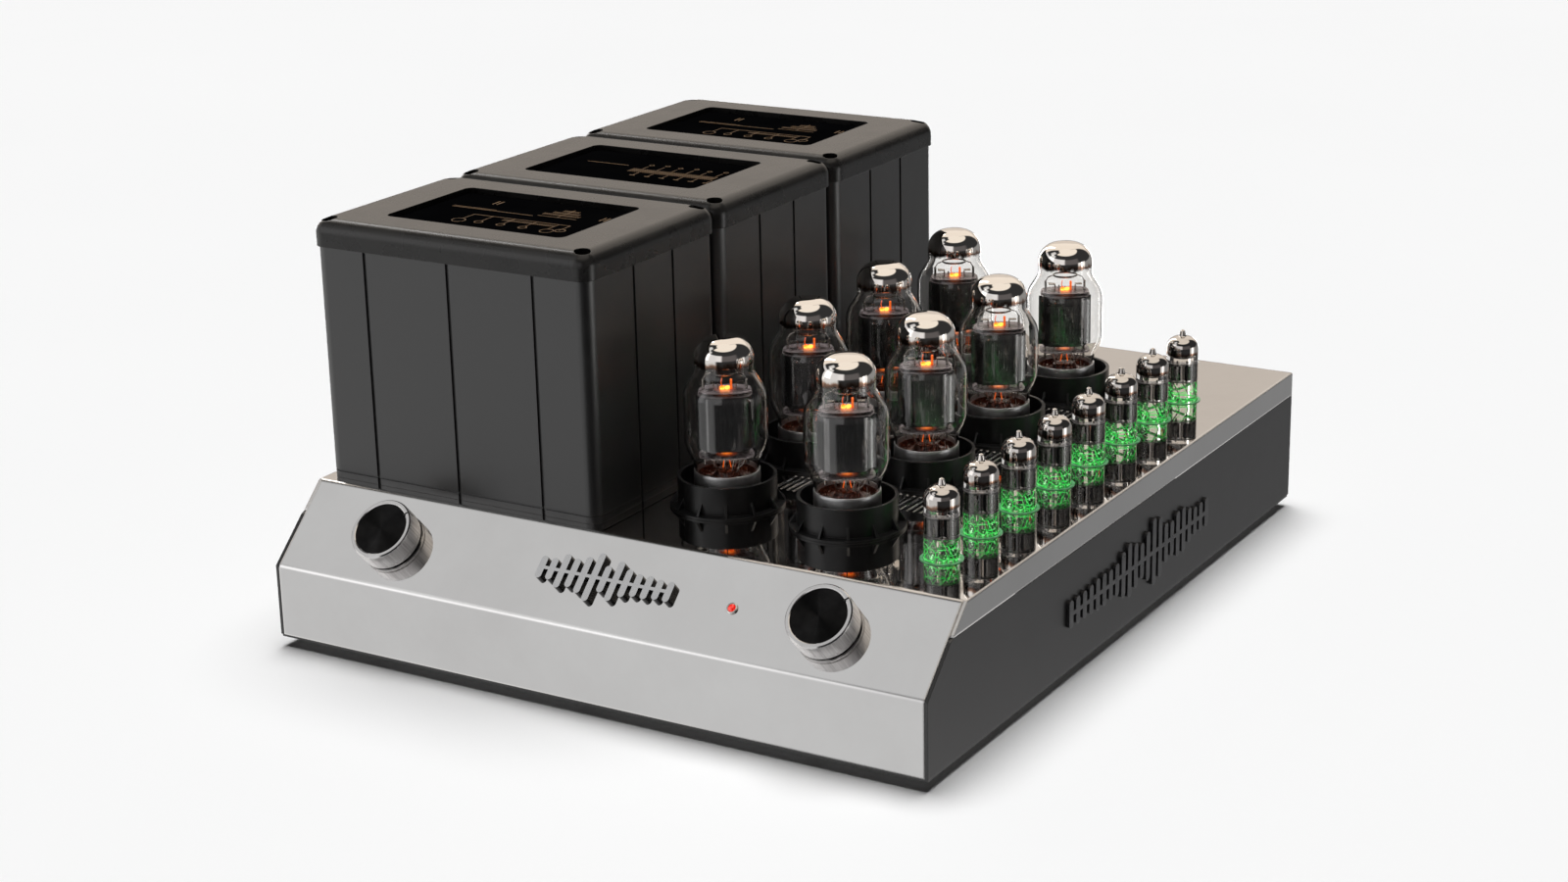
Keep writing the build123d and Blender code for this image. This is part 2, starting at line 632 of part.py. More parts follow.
# ================================================================ inside the case
signal_middle = FRONT + SIGNAL_FROM_FRONT + SIGNAL_PITCH * (SIGNAL_COUNT - 1) / 2
with BuildPart() as signal_board:
    with BuildSketch(Plane.XY.offset(DECK + BOARD_TOP)):
        with Locations((SIGNAL_X - 4, signal_middle)):
            Rectangle(58, 384)
    extrude(amount=-BOARD)
    # spacers between the board and the deck
    with BuildSketch(Plane.XY.offset(DECK + BOARD_TOP)):
        with Locations((SIGNAL_X - 26, signal_middle)):
            with GridLocations(1, 368, 1, 2):
                Circle(3.0)
    extrude(amount=-BOARD_TOP - STEEL)
save(signal_board, "signal_board")

SUPPLY_BOARD_Z = PANEL_BASE + 8
with BuildPart() as supply_board:
    with BuildSketch(Plane.XY.offset(SUPPLY_BOARD_Z)):
        with Locations((TRANSFORMER_X + 7, 0)):
            Rectangle(180, 320)
    extrude(amount=BOARD)
    with BuildSketch(Plane.XY.offset(PANEL_BASE)):
        with Locations(*BOARD_LEGS):
            Circle(3.0)
    extrude(amount=8)
save(supply_board, "supply_board")

with BuildPart() as capacitor:
    with BuildSketch():
        Circle(17.5)
    extrude(amount=52.0)
    fillet(capacitor.faces().sort_by(Axis.Z)[-1].edges(), radius=2.0)
capacitor_spots = [
    (TRANSFORMER_X + 7 + x, y, SUPPLY_BOARD_Z + BOARD)
    for x in (-50, 0, 50)
    for y in (-110, -55, 0)
]
save_group("filter_capacitors", copies(capacitor, capacitor_spots))

with BuildPart() as rotary_switches:
    with BuildSketch(SLOPE_PLANE.offset(-STEEL)):
        with Locations(*KNOB_SPOTS):
            RectangleRounded(SWITCH_SIZE, SWITCH_SIZE, 3)
    extrude(amount=-SWITCH_DEPTH)
    with BuildSketch(SLOPE_PLANE.offset(-STEEL)):
        with Locations(*KNOB_SPOTS):
            Circle(BUSHING_RADIUS)
    extrude(amount=STEEL)
    with BuildSketch(SLOPE_PLANE):
        with Locations(*KNOB_SPOTS):
            Circle(SHAFT_RADIUS + 0.05)
    extrude(amount=-STEEL - SWITCH_DEPTH + 2, mode=Mode.SUBTRACT)
save(rotary_switches, "rotary_switches")

# ================================================================ knobs and pilot lamp
POINTER_ANGLE = 45
for name, spot in (("tube_light_knob", KNOB_SPOTS[0]), ("power_knob", KNOB_SPOTS[1])):
    with BuildPart() as knob:
        with BuildSketch(SLOPE_PLANE.offset(KNOB_GAP)):
            with Locations(spot):
                Circle(KNOB_RADIUS)
        extrude(amount=KNOB_REACH - KNOB_GAP)
        chamfer(knob.faces().sort_by(SLOPE_NORMAL)[-1].edges(), length=0.6)
        with BuildSketch(SLOPE_PLANE.offset(KNOB_REACH)):
            with Locations(spot):
                Circle(INSERT_RADIUS)
        extrude(amount=-INSERT_THICKNESS - 0.3, mode=Mode.SUBTRACT)
        # pointer notch across the rim
        with BuildSketch(SLOPE_PLANE.offset(KNOB_REACH)):
            with Locations(spot):
                with PolarLocations((KNOB_RADIUS + INSERT_RADIUS) / 2, 1, start_angle=POINTER_ANGLE):
                    Rectangle(KNOB_RADIUS - INSERT_RADIUS + 2, 1.2)
        extrude(amount=-1.0, mode=Mode.SUBTRACT)
        with BuildSketch(SLOPE_PLANE.offset(KNOB_GAP)):
            with Locations(spot):
                Circle(SHAFT_RADIUS)
        extrude(amount=KNOB_REACH - 5, mode=Mode.SUBTRACT)
    with BuildPart() as insert:
        with BuildSketch(SLOPE_PLANE.offset(KNOB_REACH - 0.3)):
            with Locations(spot):
                Circle(INSERT_RADIUS - 0.1)
        extrude(amount=-INSERT_THICKNESS)
    with BuildPart() as shaft:
        with BuildSketch(SLOPE_PLANE.offset(KNOB_REACH - 4 - KNOB_GAP)):
            with Locations(spot):
                Circle(SHAFT_RADIUS)
        extrude(amount=-KNOB_REACH + 4 + KNOB_GAP - SHAFT_DEPTH)
    save_group(name, [knob.part, insert.part, shaft.part])

with BuildPart() as led_bezel:
    with BuildSketch(SLOPE_PLANE):
        with Locations((LED_X, SLOPE_MIDDLE)):
            Circle(BEZEL_RADIUS)
            Circle(LED_RADIUS + 0.1, mode=Mode.SUBTRACT)
    extrude(amount=1.2)
with BuildPart() as led_lens:
    with BuildSketch(SLOPE_PLANE.offset(-8)):
        with Locations((LED_X, SLOPE_MIDDLE)):
            Circle(LED_RADIUS)
    extrude(amount=10.2)
    fillet(led_lens.faces().sort_by(SLOPE_NORMAL)[-1].edges(), radius=1.8)
save_group("power_led", [led_bezel.part, led_lens.part])

# ================================================================ ornaments: a wave drawn in upright bars
FRONT_EMBLEM_THICKNESS = 3.5
SIDE_EMBLEM_THICKNESS = 2.0
SHORTEST_BAR = 0.38
BAR_SHARE = 0.6


def wave_bars(length, height, count):
    """Places and heights of bars that swell and fade along a length."""
    step = length / count
    bars = []
    for i in range(count):
        along = (i + 0.5) / count
        swell = exp(-((along - 0.42) / 0.26) ** 2)
        ripple = 0.62 + 0.38 * cos(2 * pi * along * 5.0)
        share = SHORTEST_BAR + (1 - SHORTEST_BAR) * swell * ripple
        bars.append((step * (i + 0.5) - length / 2, share * height))
    return bars, step


FRONT_EMBLEM_LENGTH = 94.0
FRONT_EMBLEM_HEIGHT = 33.0
FRONT_EMBLEM_X = 4.0
with BuildPart() as front_emblem:
    bars, step = wave_bars(FRONT_EMBLEM_LENGTH, FRONT_EMBLEM_HEIGHT, 13)
    with BuildSketch(SLOPE_PLANE):
        with Locations((FRONT_EMBLEM_X, SLOPE_MIDDLE + 1)):
            Rectangle(FRONT_EMBLEM_LENGTH - step, 2.0)
        for x, height in bars:
            with Locations((FRONT_EMBLEM_X + x, SLOPE_MIDDLE + 1)):
                SlotOverall(height, step * BAR_SHARE, rotation=90)
    extrude(amount=FRONT_EMBLEM_THICKNESS)
save(front_emblem, "front_emblem")

SIDE_EMBLEM_LENGTH = 208.0
SIDE_EMBLEM_HEIGHT = 44.0
SIDE_EMBLEM_Y = FRONT + 271.35
SIDE_EMBLEM_Z = CASE_BASE + 36.0
side_emblem_solids = []
for side in (-1, 1):
    with BuildPart() as side_emblem:
        bars, step = wave_bars(SIDE_EMBLEM_LENGTH, SIDE_EMBLEM_HEIGHT, 23)
        with BuildSketch(Plane.YZ.offset(side * HALF)):
            with Locations((SIDE_EMBLEM_Y, SIDE_EMBLEM_Z)):
                Rectangle(SIDE_EMBLEM_LENGTH - step, 2.6)
            for x, height in bars:
                with Locations((SIDE_EMBLEM_Y - side * x, SIDE_EMBLEM_Z)):
                    SlotOverall(height, step * BAR_SHARE, rotation=90)
        extrude(amount=side * SIDE_EMBLEM_THICKNESS)
    side_emblem_solids.append(side_emblem.part)
save_group("side_emblems", side_emblem_solids)

# ================================================================ rear panel and connectors
XLR_SPOTS = [(-x, 56.0) for x in XLR_X]
RCA_SPOTS = [(-x, RCA_HEIGHT) for x in INPUT_X]
TERMINAL_SPOTS = [(-x, TERMINAL_HEIGHT) for x in TERMINAL_X]
INLET_SPOT = (168.0, 34.0)
INLET_WIDTH = 24.4
INLET_HEIGHT = 16.8
INLET_DEPTH = 17.0
FUSE_SPOT = (110.0, 34.0)
SELECT_SPOT = (-126.0, 64.0)
SELECT_TRAVEL = 5.0
REAR_TOP = DECK - STEEL - CASE_BASE
with BuildPart() as rear_panel:
    with BuildSketch(REAR_PLANE):
        with Locations((0, (BASE_SHEET + REAR_TOP) / 2)):
            Rectangle(2 * STEEL_HALF, REAR_TOP - BASE_SHEET)
        with Locations(*XLR_SPOTS):
            Circle(11.8, mode=Mode.SUBTRACT)
        with Locations(*RCA_SPOTS):
            Circle(RCA_RADIUS + 0.3, mode=Mode.SUBTRACT)
        with Locations(*TERMINAL_SPOTS):
            Circle(3.4, mode=Mode.SUBTRACT)
        with Locations(INLET_SPOT):
            Rectangle(INLET_WIDTH + 5.2, INLET_HEIGHT + 5.2, mode=Mode.SUBTRACT)
            with GridLocations(40, 1, 2, 1):
                Circle(1.7, mode=Mode.SUBTRACT)
        with Locations(FUSE_SPOT):
            Circle(6.3, mode=Mode.SUBTRACT)
        with Locations(SELECT_SPOT):
            Rectangle(13.0, 5.6, mode=Mode.SUBTRACT)
    extrude(amount=-PANEL)
    with BuildSketch(Plane.XY.offset(PANEL_BASE)):
        with Locations((0, REAR - LIP / 2)):
            Rectangle(2 * STEEL_HALF, LIP)
        with Locations(*REAR_SCREWS):
            Circle(1.7, mode=Mode.SUBTRACT)
    extrude(amount=PANEL)
save(rear_panel, "rear_panel")

# Binding post: moulded washer, stud through the panel and a fluted cap.
with BuildPart() as terminal:
    with BuildSketch(REAR_PLANE):
        Circle(8.6)
    extrude(amount=3.0)
    with BuildSketch(REAR_PLANE.offset(3.0)):
        Circle(4.0)
    extrude(amount=2.0)
    with BuildSketch(REAR_PLANE.offset(5.0)):
        Circle(7.8)
        with PolarLocations(8.3, 12):
            Circle(1.1, mode=Mode.SUBTRACT)
    extrude(amount=TERMINAL_REACH - 5.0)
    chamfer(terminal.faces().sort_by(Axis.Y)[-1].edges().sort_by(SortBy.LENGTH)[-1:], length=0.4)
    with BuildSketch(REAR_PLANE):
        Circle(3.0)
    extrude(amount=-16.0)
    with BuildSketch(REAR_PLANE.offset(-PANEL)):
        Circle(6.0)
    extrude(amount=-3.0)
save_group("speaker_terminals", copies(terminal, [(-x, 0, z) for x, z in TERMINAL_SPOTS]))

with BuildPart() as rca_jack:
    with BuildSketch(REAR_PLANE):
        RegularPolygon(6.6, 6)
    extrude(amount=2.6)
    with BuildSketch(REAR_PLANE):
        Circle(RCA_RADIUS)
    extrude(amount=12.0)
    with BuildSketch(REAR_PLANE):
        Circle(RCA_RADIUS)
    extrude(amount=-12.0)
    with BuildSketch(REAR_PLANE.offset(-PANEL)):
        Circle(6.4)
    extrude(amount=-2.0)
    with BuildSketch(REAR_PLANE.offset(12.0)):
        Circle(1.7)
    extrude(amount=-14.0, mode=Mode.SUBTRACT)
save_group("rca_jacks", copies(rca_jack, [(-x, 0, z) for x, z in RCA_SPOTS]))

with BuildPart() as xlr_jack:
    with BuildSketch(REAR_PLANE):
        RectangleRounded(26.0, 31.0, 3.0)
        with Locations((-9.5, 12.0), (9.5, -12.0)):
            Circle(1.6, mode=Mode.SUBTRACT)
    extrude(amount=2.2)
    with BuildSketch(REAR_PLANE):
        Circle(11.5)
    extrude(amount=-20.0)
    # ring recess round the contact block
    with BuildSketch(REAR_PLANE.offset(2.2)):
        Circle(9.9)
        Circle(8.0, mode=Mode.SUBTRACT)
    extrude(amount=-12.0, mode=Mode.SUBTRACT)
    with BuildSketch(REAR_PLANE.offset(2.2)):
        with PolarLocations(3.75, 3, start_angle=-90, angular_range=360):
            Circle(1.3)
    extrude(amount=-12.0, mode=Mode.SUBTRACT)
save_group("xlr_jacks", copies(xlr_jack, [(-x, 0, z) for x, z in XLR_SPOTS]))

# Mains inlet: an earthed appliance inlet with three flat pins.
with BuildPart() as inlet_body:
    with BuildSketch(REAR_PLANE):
        with Locations(INLET_SPOT):
            RectangleRounded(50.0, 27.0, 5.0)
            with GridLocations(40, 1, 2, 1):
                Circle(1.7, mode=Mode.SUBTRACT)
    extrude(amount=2.4)
    with BuildSketch(REAR_PLANE):
        with Locations(INLET_SPOT):
            Rectangle(INLET_WIDTH + 4.6, INLET_HEIGHT + 4.6)
    extrude(amount=-INLET_DEPTH - 1.0)
    with BuildSketch(REAR_PLANE.offset(2.4)):
        with Locations(INLET_SPOT):
            RectangleRounded(INLET_WIDTH, INLET_HEIGHT, 1.5)
    extrude(amount=-INLET_DEPTH, mode=Mode.SUBTRACT)
inlet_floor = 2.4 - INLET_DEPTH
with BuildPart() as inlet_pins:
    with BuildSketch(REAR_PLANE.offset(inlet_floor)):
        with Locations(INLET_SPOT):
            with Locations((-7, -2), (7, -2), (0, 2)):
                Rectangle(2.0, 4.0)
    extrude(amount=11.0)
save_group("mains_inlet", [inlet_body.part, inlet_pins.part])

with BuildPart() as fuse_holder:
    with BuildSketch(REAR_PLANE):
        with Locations(FUSE_SPOT):
            Circle(9.0)
    extrude(amount=2.0)
    with BuildSketch(REAR_PLANE.offset(2.0)):
        with Locations(FUSE_SPOT):
            Circle(7.2)
            Rectangle(8.0, 1.6, mode=Mode.SUBTRACT)
    extrude(amount=9.0)
    with BuildSketch(REAR_PLANE):
        with Locations(FUSE_SPOT):
            Circle(6.0)
    extrude(amount=-34.0)
save(fuse_holder, "fuse_holder")

# Input selector: a slide switch behind a slot in the panel.
with BuildPart() as input_switch_body:
    with BuildSketch(REAR_PLANE.offset(-PANEL)):
        with Locations(SELECT_SPOT):
            Rectangle(26.0, 12.0)
    extrude(amount=-10.0)
    with BuildSketch(REAR_PLANE.offset(-PANEL)):
        with Locations(SELECT_SPOT):
            Rectangle(18.0, 8.0)
    extrude(amount=-6.0, mode=Mode.SUBTRACT)
save(input_switch_body, "input_switch_body")

slider_x = SELECT_SPOT[0] + SELECT_TRAVEL / 2
with BuildPart() as input_switch_slider:
    with BuildSketch(REAR_PLANE.offset(-PANEL - 0.4)):
        with Locations((slider_x, SELECT_SPOT[1])):
            Rectangle(10.0, 7.2)
    extrude(amount=-5.0)
    with BuildSketch(REAR_PLANE.offset(-PANEL - 0.4)):
        with Locations((slider_x, SELECT_SPOT[1])):
            Rectangle(6.0, 4.8)
    extrude(amount=PANEL + 0.4 + 4.0)
save(input_switch_slider, "input_switch_slider")

# ================================================================ screws
with BuildPart() as floor_screw:
    with BuildSketch(Plane.XY):
        Circle(3.0)
    extrude(amount=-1.6)
    with BuildSketch(Plane.XY):
        Circle(1.5)
    extrude(amount=BASE_SHEET + PANEL + 3.0)
with BuildPart() as foot_screw:
    with BuildSketch(Plane.XY.offset(3.5)):
        Circle(4.0)
    extrude(amount=-2.0)
    with BuildSketch(Plane.XY.offset(3.5)):
        Circle(2.0)
    extrude(amount=FOOT_HEIGHT - 3.5 + BASE_SHEET + 4.0)
with BuildPart() as cap_screw:
    with BuildSketch(Plane.XY.offset(-5.5)):
        Circle(3.3)
        RegularPolygon(1.7, 6, mode=Mode.SUBTRACT)
    extrude(amount=2.0)
    with BuildSketch(Plane.XY.offset(-5.5)):
        Circle(2.0)
    extrude(amount=-18.0)
with BuildPart() as deck_screw:
    with BuildSketch(Plane.XY):
        Circle(4.0)
    extrude(amount=-2.4)
    with BuildSketch(Plane.XY):
        Circle(2.0)
    extrude(amount=STEEL + 14.0)
post_x = COVER_WIDTH / 2 - POST_INSET
post_y = COVER_LENGTH / 2 - POST_INSET
corners = [
    (TRANSFORMER_X + sx * post_x, y + sy * post_y)
    for y in TRANSFORMER_Y
    for sx in (-1, 1)
    for sy in (-1, 1)
]
screws = copies(floor_screw, [(x, y, CASE_BASE) for x, y in FLOOR_SCREWS])
screws += copies(foot_screw, [(x, y, 0) for x, y in FEET_SPOTS])
screws += copies(cap_screw, [(x, y, CAP_TOP) for x, y in corners])
screws += copies(deck_screw, [(x, y, DECK - STEEL) for x, y in corners])
save_group("case_screws", screws)
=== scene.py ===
from math import atan2, cos, hypot, pi, radians, sin, tan

import bmesh
import bpy
from mathutils import Matrix, Vector


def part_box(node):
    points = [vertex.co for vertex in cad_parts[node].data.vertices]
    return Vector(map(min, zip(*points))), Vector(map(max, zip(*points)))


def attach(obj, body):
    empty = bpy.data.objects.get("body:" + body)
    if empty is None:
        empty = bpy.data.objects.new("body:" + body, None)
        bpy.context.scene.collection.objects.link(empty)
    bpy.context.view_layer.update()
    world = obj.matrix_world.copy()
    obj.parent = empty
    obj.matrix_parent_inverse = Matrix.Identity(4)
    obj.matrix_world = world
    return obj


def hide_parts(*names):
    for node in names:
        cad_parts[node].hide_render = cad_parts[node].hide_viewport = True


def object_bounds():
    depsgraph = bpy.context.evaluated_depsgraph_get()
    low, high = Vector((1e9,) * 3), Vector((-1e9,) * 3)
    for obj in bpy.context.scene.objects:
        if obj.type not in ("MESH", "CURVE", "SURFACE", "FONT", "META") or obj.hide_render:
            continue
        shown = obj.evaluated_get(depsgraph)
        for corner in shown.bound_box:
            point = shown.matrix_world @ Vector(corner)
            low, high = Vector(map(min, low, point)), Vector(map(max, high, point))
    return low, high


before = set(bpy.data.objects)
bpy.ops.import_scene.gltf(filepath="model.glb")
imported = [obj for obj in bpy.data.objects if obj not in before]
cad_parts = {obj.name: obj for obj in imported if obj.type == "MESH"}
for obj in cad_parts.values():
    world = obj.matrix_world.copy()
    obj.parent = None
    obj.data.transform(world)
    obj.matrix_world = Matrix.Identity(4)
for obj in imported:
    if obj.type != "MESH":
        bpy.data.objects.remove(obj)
cad_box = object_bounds()

# Tube amplifier. The CAD frame is in metres; shapes below are drawn in millimetres and scaled by MM.
# Colours are linear RGB.
MM = 0.001
SEGMENTS = 64

# ======================== sizes: millimetres, and degrees for the turn
POWER_HEIGHT = 102.4
BASE_BOTTOM = 3.0
BASE_TOP = 21.9
BASE_RADIUS = 19.7
GLASS_WALL = 1.2
GETTER_EDGE = 87.0
SIGNAL_HEIGHT = 47.4
SIGNAL_RADIUS = 10.3
SIGNAL_FOOT = -3.0
SIGNAL_GETTER_EDGE = 31.5
ELECTRODE_TURN = 31.0
ANODE_BOTTOM = 34.0
ANODE_TOP = 66.5
# how far the painted heater glow on the power tube's micas reaches
HEATER_GLOW_REACH = 7.0
OCTAL_PIN_REACH = 8.725
NINE_PIN_REACH = 5.945
SLOPE_SETBACK = 44.7
SLOPE_HEIGHT = 42.0
KNOB_RADIUS = 19.8
KNOB_REACH = 15.0
INSERT_RADIUS = 16.5
SHAFT_END = -17.0
WASHER_RADIUS = 8.6
TERMINAL_PITCH = 24.0


def grey(level):
    return (level, level, level)


# ======================== shapes
class Shape:
    """A mesh being drawn, in millimetres, with a material number for each face."""

    def __init__(self):
        self.points = []
        self.faces = []
        self.kinds = []

    def add(self, points, faces, kind=0, at=(0, 0, 0)):
        start = len(self.points)
        self.points += [Vector(point) + Vector(at) for point in points]
        self.faces += [tuple(start + i for i in face) for face in faces]
        self.kinds += [kind] * len(faces)

    def lathe(self, profile, kind=0, closed=False, segments=SEGMENTS, at=(0, 0, 0)):
        """Turns a profile of (radius, height) points about the upright axis."""
        points = []
        rings = []
        for radius, height in profile:
            count = 1 if radius < 1e-6 else segments
            rings.append(list(range(len(points), len(points) + count)))
            for i in range(count):
                turn = 2 * pi * i / segments
                points.append((radius * cos(turn), radius * sin(turn), height))
        pairs = list(zip(rings, rings[1:]))
        if closed:
            pairs.append((rings[-1], rings[0]))
        faces = []
        for low, high in pairs:
            for i in range(segments):
                j = (i + 1) % segments
                corners = [low[i % len(low)], low[j % len(low)], high[j % len(high)], high[i % len(high)]]
                face = list(dict.fromkeys(corners))
                if len(face) > 2:
                    faces.append(face)
        self.add(points, faces, kind, at)

    def prism(self, outline, low, high, kind=0, bevel=0.0, at=(0, 0, 0)):
        """A flat outline between two heights, with its top and bottom edges cut by bevel."""
        levels = [(low, 0), (high, 0)]
        if bevel:
            levels = [(low, -bevel), (low + bevel, 0), (high - bevel, 0), (high, -bevel)]
        count = len(outline)
        points = []
        for height, grow in levels:
            points += [(x, y, height) for x, y in offset_outline(outline, grow)]
        faces = [tuple(reversed(range(count))), tuple(range(len(points) - count, len(points)))]
        for level in range(len(levels) - 1):
            base = level * count
            for i in range(count):
                j = (i + 1) % count
                faces.append((base + i, base + j, base + count + j, base + count + i))
        self.add(points, faces, kind, at)

    def wire(self, path, radius, kind=0, sides=8):
        """A round wire along a path of points."""
        path = [Vector(point) for point in path]
        side = (path[1] - path[0]).orthogonal().normalized()
        points = []
        for i, here in enumerate(path):
            along = (path[min(i + 1, len(path) - 1)] - path[max(i - 1, 0)]).normalized()
            side = (side - along * side.dot(along)).normalized()
            other = along.cross(side)
            for step in range(sides):
                turn = 2 * pi * step / sides
                points.append(here + (side * cos(turn) + other * sin(turn)) * radius)
        faces = [tuple(reversed(range(sides))), tuple(range(len(points) - sides, len(points)))]
        for i in range(len(path) - 1):
            for step in range(sides):
                near = i * sides
                far = near + sides
                after = (step + 1) % sides
                faces.append((near + step, near + after, far + after, far + step))
        self.add(points, faces, kind)

    def mesh(self, name, materials, sharp=35):
        """The finished mesh, in metres."""
        made = bpy.data.meshes.new(name)
        made.from_pydata([point * MM for point in self.points], [], self.faces)
        for item in materials:
            made.materials.append(item)
        made.polygons.foreach_set("material_index", self.kinds)
        editing = bmesh.new()
        editing.from_mesh(made)
        bmesh.ops.recalc_face_normals(editing, faces=editing.faces)
        editing.to_mesh(made)
        editing.free()
        made.shade_smooth()
        made.set_sharp_from_angle(angle=radians(sharp))
        return made


def offset_outline(outline, grow):
    """The outline with every point moved outwards by about grow."""
    if not grow:
        return list(outline)
    moved = []
    count = len(outline)
    for i, (x, y) in enumerate(outline):
        before = Vector(outline[i - 1])
        after = Vector(outline[(i + 1) % count])
        along = (after - before).normalized()
        moved.append((x + along.y * grow, y - along.x * grow))
    return moved


def rounded(points, radii, steps=8):
    """An open outline through points, with an arc of its own radius in place of each inner corner."""
    out = [tuple(points[0])]
    for before, corner, after, radius in zip(points, points[1:], points[2:], radii):
        corner = Vector(corner)
        to_before = (Vector(before) - corner).normalized()
        to_after = (Vector(after) - corner).normalized()
        half = to_before.angle(to_after) / 2
        centre = corner + (to_before + to_after).normalized() * radius / sin(half)
        first = corner + to_before * radius / tan(half) - centre
        last = corner + to_after * radius / tan(half) - centre
        start = atan2(first.y, first.x)
        sweep = (atan2(last.y, last.x) - start + pi) % (2 * pi) - pi
        for i in range(steps + 1):
            turn = start + sweep * i / steps
            out.append((centre.x + radius * cos(turn), centre.y + radius * sin(turn)))
    out.append(tuple(points[-1]))
    return out


def round_outline(width, depth, corner, steps=6):
    """A rectangle with rounded corners, seen from above."""
    out = []
    for quarter in range(4):
        centre_x = (width / 2 - corner) * (1 if quarter in (0, 3) else -1)
        centre_y = (depth / 2 - corner) * (1 if quarter in (0, 1) else -1)
        for i in range(steps + 1):
            turn = pi / 2 * (quarter + i / steps)
            out.append((centre_x + corner * cos(turn), centre_y + corner * sin(turn)))
    return out


def bar(width, depth, at=(0, 0)):
    """A plain rectangle's outline."""
    x, y = at
    corners = ((1, 1), (-1, 1), (-1, -1), (1, -1))
    return [(x + across * width / 2, y + along * depth / 2) for across, along in corners]


def add_object(name, data):
    made = bpy.data.objects.new(name, data)
    bpy.context.scene.collection.objects.link(made)
    return made


def place(name, mesh, body, at=(0, 0, 0), axes=None, replaces=()):
    """Puts a mesh in the scene as a piece that rides on a CAD body."""
    made = add_object(name, mesh)
    turn = axes.to_4x4() if axes else Matrix.Identity(4)
    made.matrix_world = Matrix.Translation(Vector(at)) @ turn
    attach(made, body)
    if replaces:
        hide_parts(*replaces)
    return made


# ======================== material building blocks
class Paint:
    """One procedural material: its nodes are added and linked by short calls."""

    def __init__(self, name):
        self.material = bpy.data.materials.new(name)
        self.material.use_nodes = True
        self.nodes = self.material.node_tree.nodes
        self.links = self.material.node_tree.links
        self.shader = self.nodes["Principled BSDF"]
        self.output = self.nodes["Material Output"]
        self.place = self.node("ShaderNodeTexCoord").outputs["Object"]

    def node(self, kind, **values):
        made = self.nodes.new(kind)
        for key, value in values.items():
            setattr(made, key, value)
        return made

    def wire(self, source, target):
        self.links.new(source, target)

    def set(self, **values):
        """Sets the shader's own sockets, such as base_color or ior."""
        for key, value in values.items():
            socket = self.shader.inputs[key.replace("_", " ").title().replace("Ior", "IOR")]
            socket.default_value = (*value, 1) if isinstance(value, tuple) else value

    def maths(self, operation, first, second=None, third=None, clamp=False):
        made = self.node("ShaderNodeMath", operation=operation, use_clamp=clamp)
        for socket, value in zip(made.inputs, (first, second, third)):
            if value is None:
                continue
            if isinstance(value, (int, float)):
                socket.default_value = value
            else:
                self.wire(value, socket)
        return made.outputs[0]

    def noise(self, scale, detail=3.0, roughness=0.55, stretch=None):
        """Noise of about scale features in each metre."""
        made = self.node("ShaderNodeTexNoise")
        made.inputs["Scale"].default_value = scale
        made.inputs["Detail"].default_value = detail
        made.inputs["Roughness"].default_value = roughness
        self.wire(self.stretched(stretch) if stretch else self.place, made.inputs["Vector"])
        return made.outputs["Fac"]

    def stretched(self, scale):
        made = self.node("ShaderNodeMapping")
        made.inputs["Scale"].default_value = scale
        self.wire(self.place, made.inputs["Vector"])
        return made.outputs[0]

    def mix(self, share, first, second):
        """Two surfaces, where share is how much of the second there is."""
        made = self.node("ShaderNodeMixShader")
        for socket, source in zip(made.inputs, (share, first, second)):
            self.wire(source, socket)
        return made.outputs[0]

    def part(self, axis):
        """One coordinate of the surface point, in metres."""
        made = self.node("ShaderNodeSeparateXYZ")
        self.wire(self.place, made.inputs[0])
        return made.outputs[axis]

    def span(self, value, low, high, to_low=0.0, to_high=1.0, smooth=False):
        """Maps a value from low..high to another span."""
        made = self.node("ShaderNodeMapRange", interpolation_type="SMOOTHSTEP" if smooth else "LINEAR")
        made.inputs["From Min"].default_value = low
        made.inputs["From Max"].default_value = high
        made.inputs["To Min"].default_value = to_low
        made.inputs["To Max"].default_value = to_high
        self.wire(value, made.inputs["Value"])
        return made.outputs["Result"]

    def ramp(self, value, *stops):
        """Colours along a value: stops are (position, colour)."""
        made = self.node("ShaderNodeValToRGB")
        made.color_ramp.elements[0].position = stops[0][0]
        made.color_ramp.elements[0].color = (*stops[0][1], 1)
        made.color_ramp.elements[1].position = stops[-1][0]
        made.color_ramp.elements[1].color = (*stops[-1][1], 1)
        for position, colour in stops[1:-1]:
            made.color_ramp.elements.new(position).color = (*colour, 1)
        self.wire(value, made.inputs[0])
        return made.outputs[0]

    def colour(self, value, *stops, socket="Base Color"):
        self.wire(self.ramp(value, *stops), self.shader.inputs[socket])

    def light(self, value, *stops):
        self.colour(value, *stops, socket="Emission Color")

    def away(self):
        """Distance from the piece's own upright axis, in metres."""
        x, y = self.part("X"), self.part("Y")
        squares = self.maths("ADD", self.maths("MULTIPLY", x, x), self.maths("MULTIPLY", y, y))
        return self.maths("SQRT", squares)

    def roughness(self, value, low, high):
        self.wire(self.span(value, 0.3, 0.7, low, high), self.shader.inputs["Roughness"])

    def bump(self, height, strength, distance, edge=0.0):
        """Raises the surface by a height pattern; edge rounds the shading of hard edges, in millimetres."""
        made = self.node("ShaderNodeBump")
        made.inputs["Strength"].default_value = strength
        made.inputs["Distance"].default_value = distance * MM
        self.wire(height, made.inputs["Height"])
        if edge:
            rounding = self.node("ShaderNodeBevel", samples=4)
            rounding.inputs["Radius"].default_value = edge * MM
            self.wire(rounding.outputs[0], made.inputs["Normal"])
        self.wire(made.outputs[0], self.shader.inputs["Normal"])


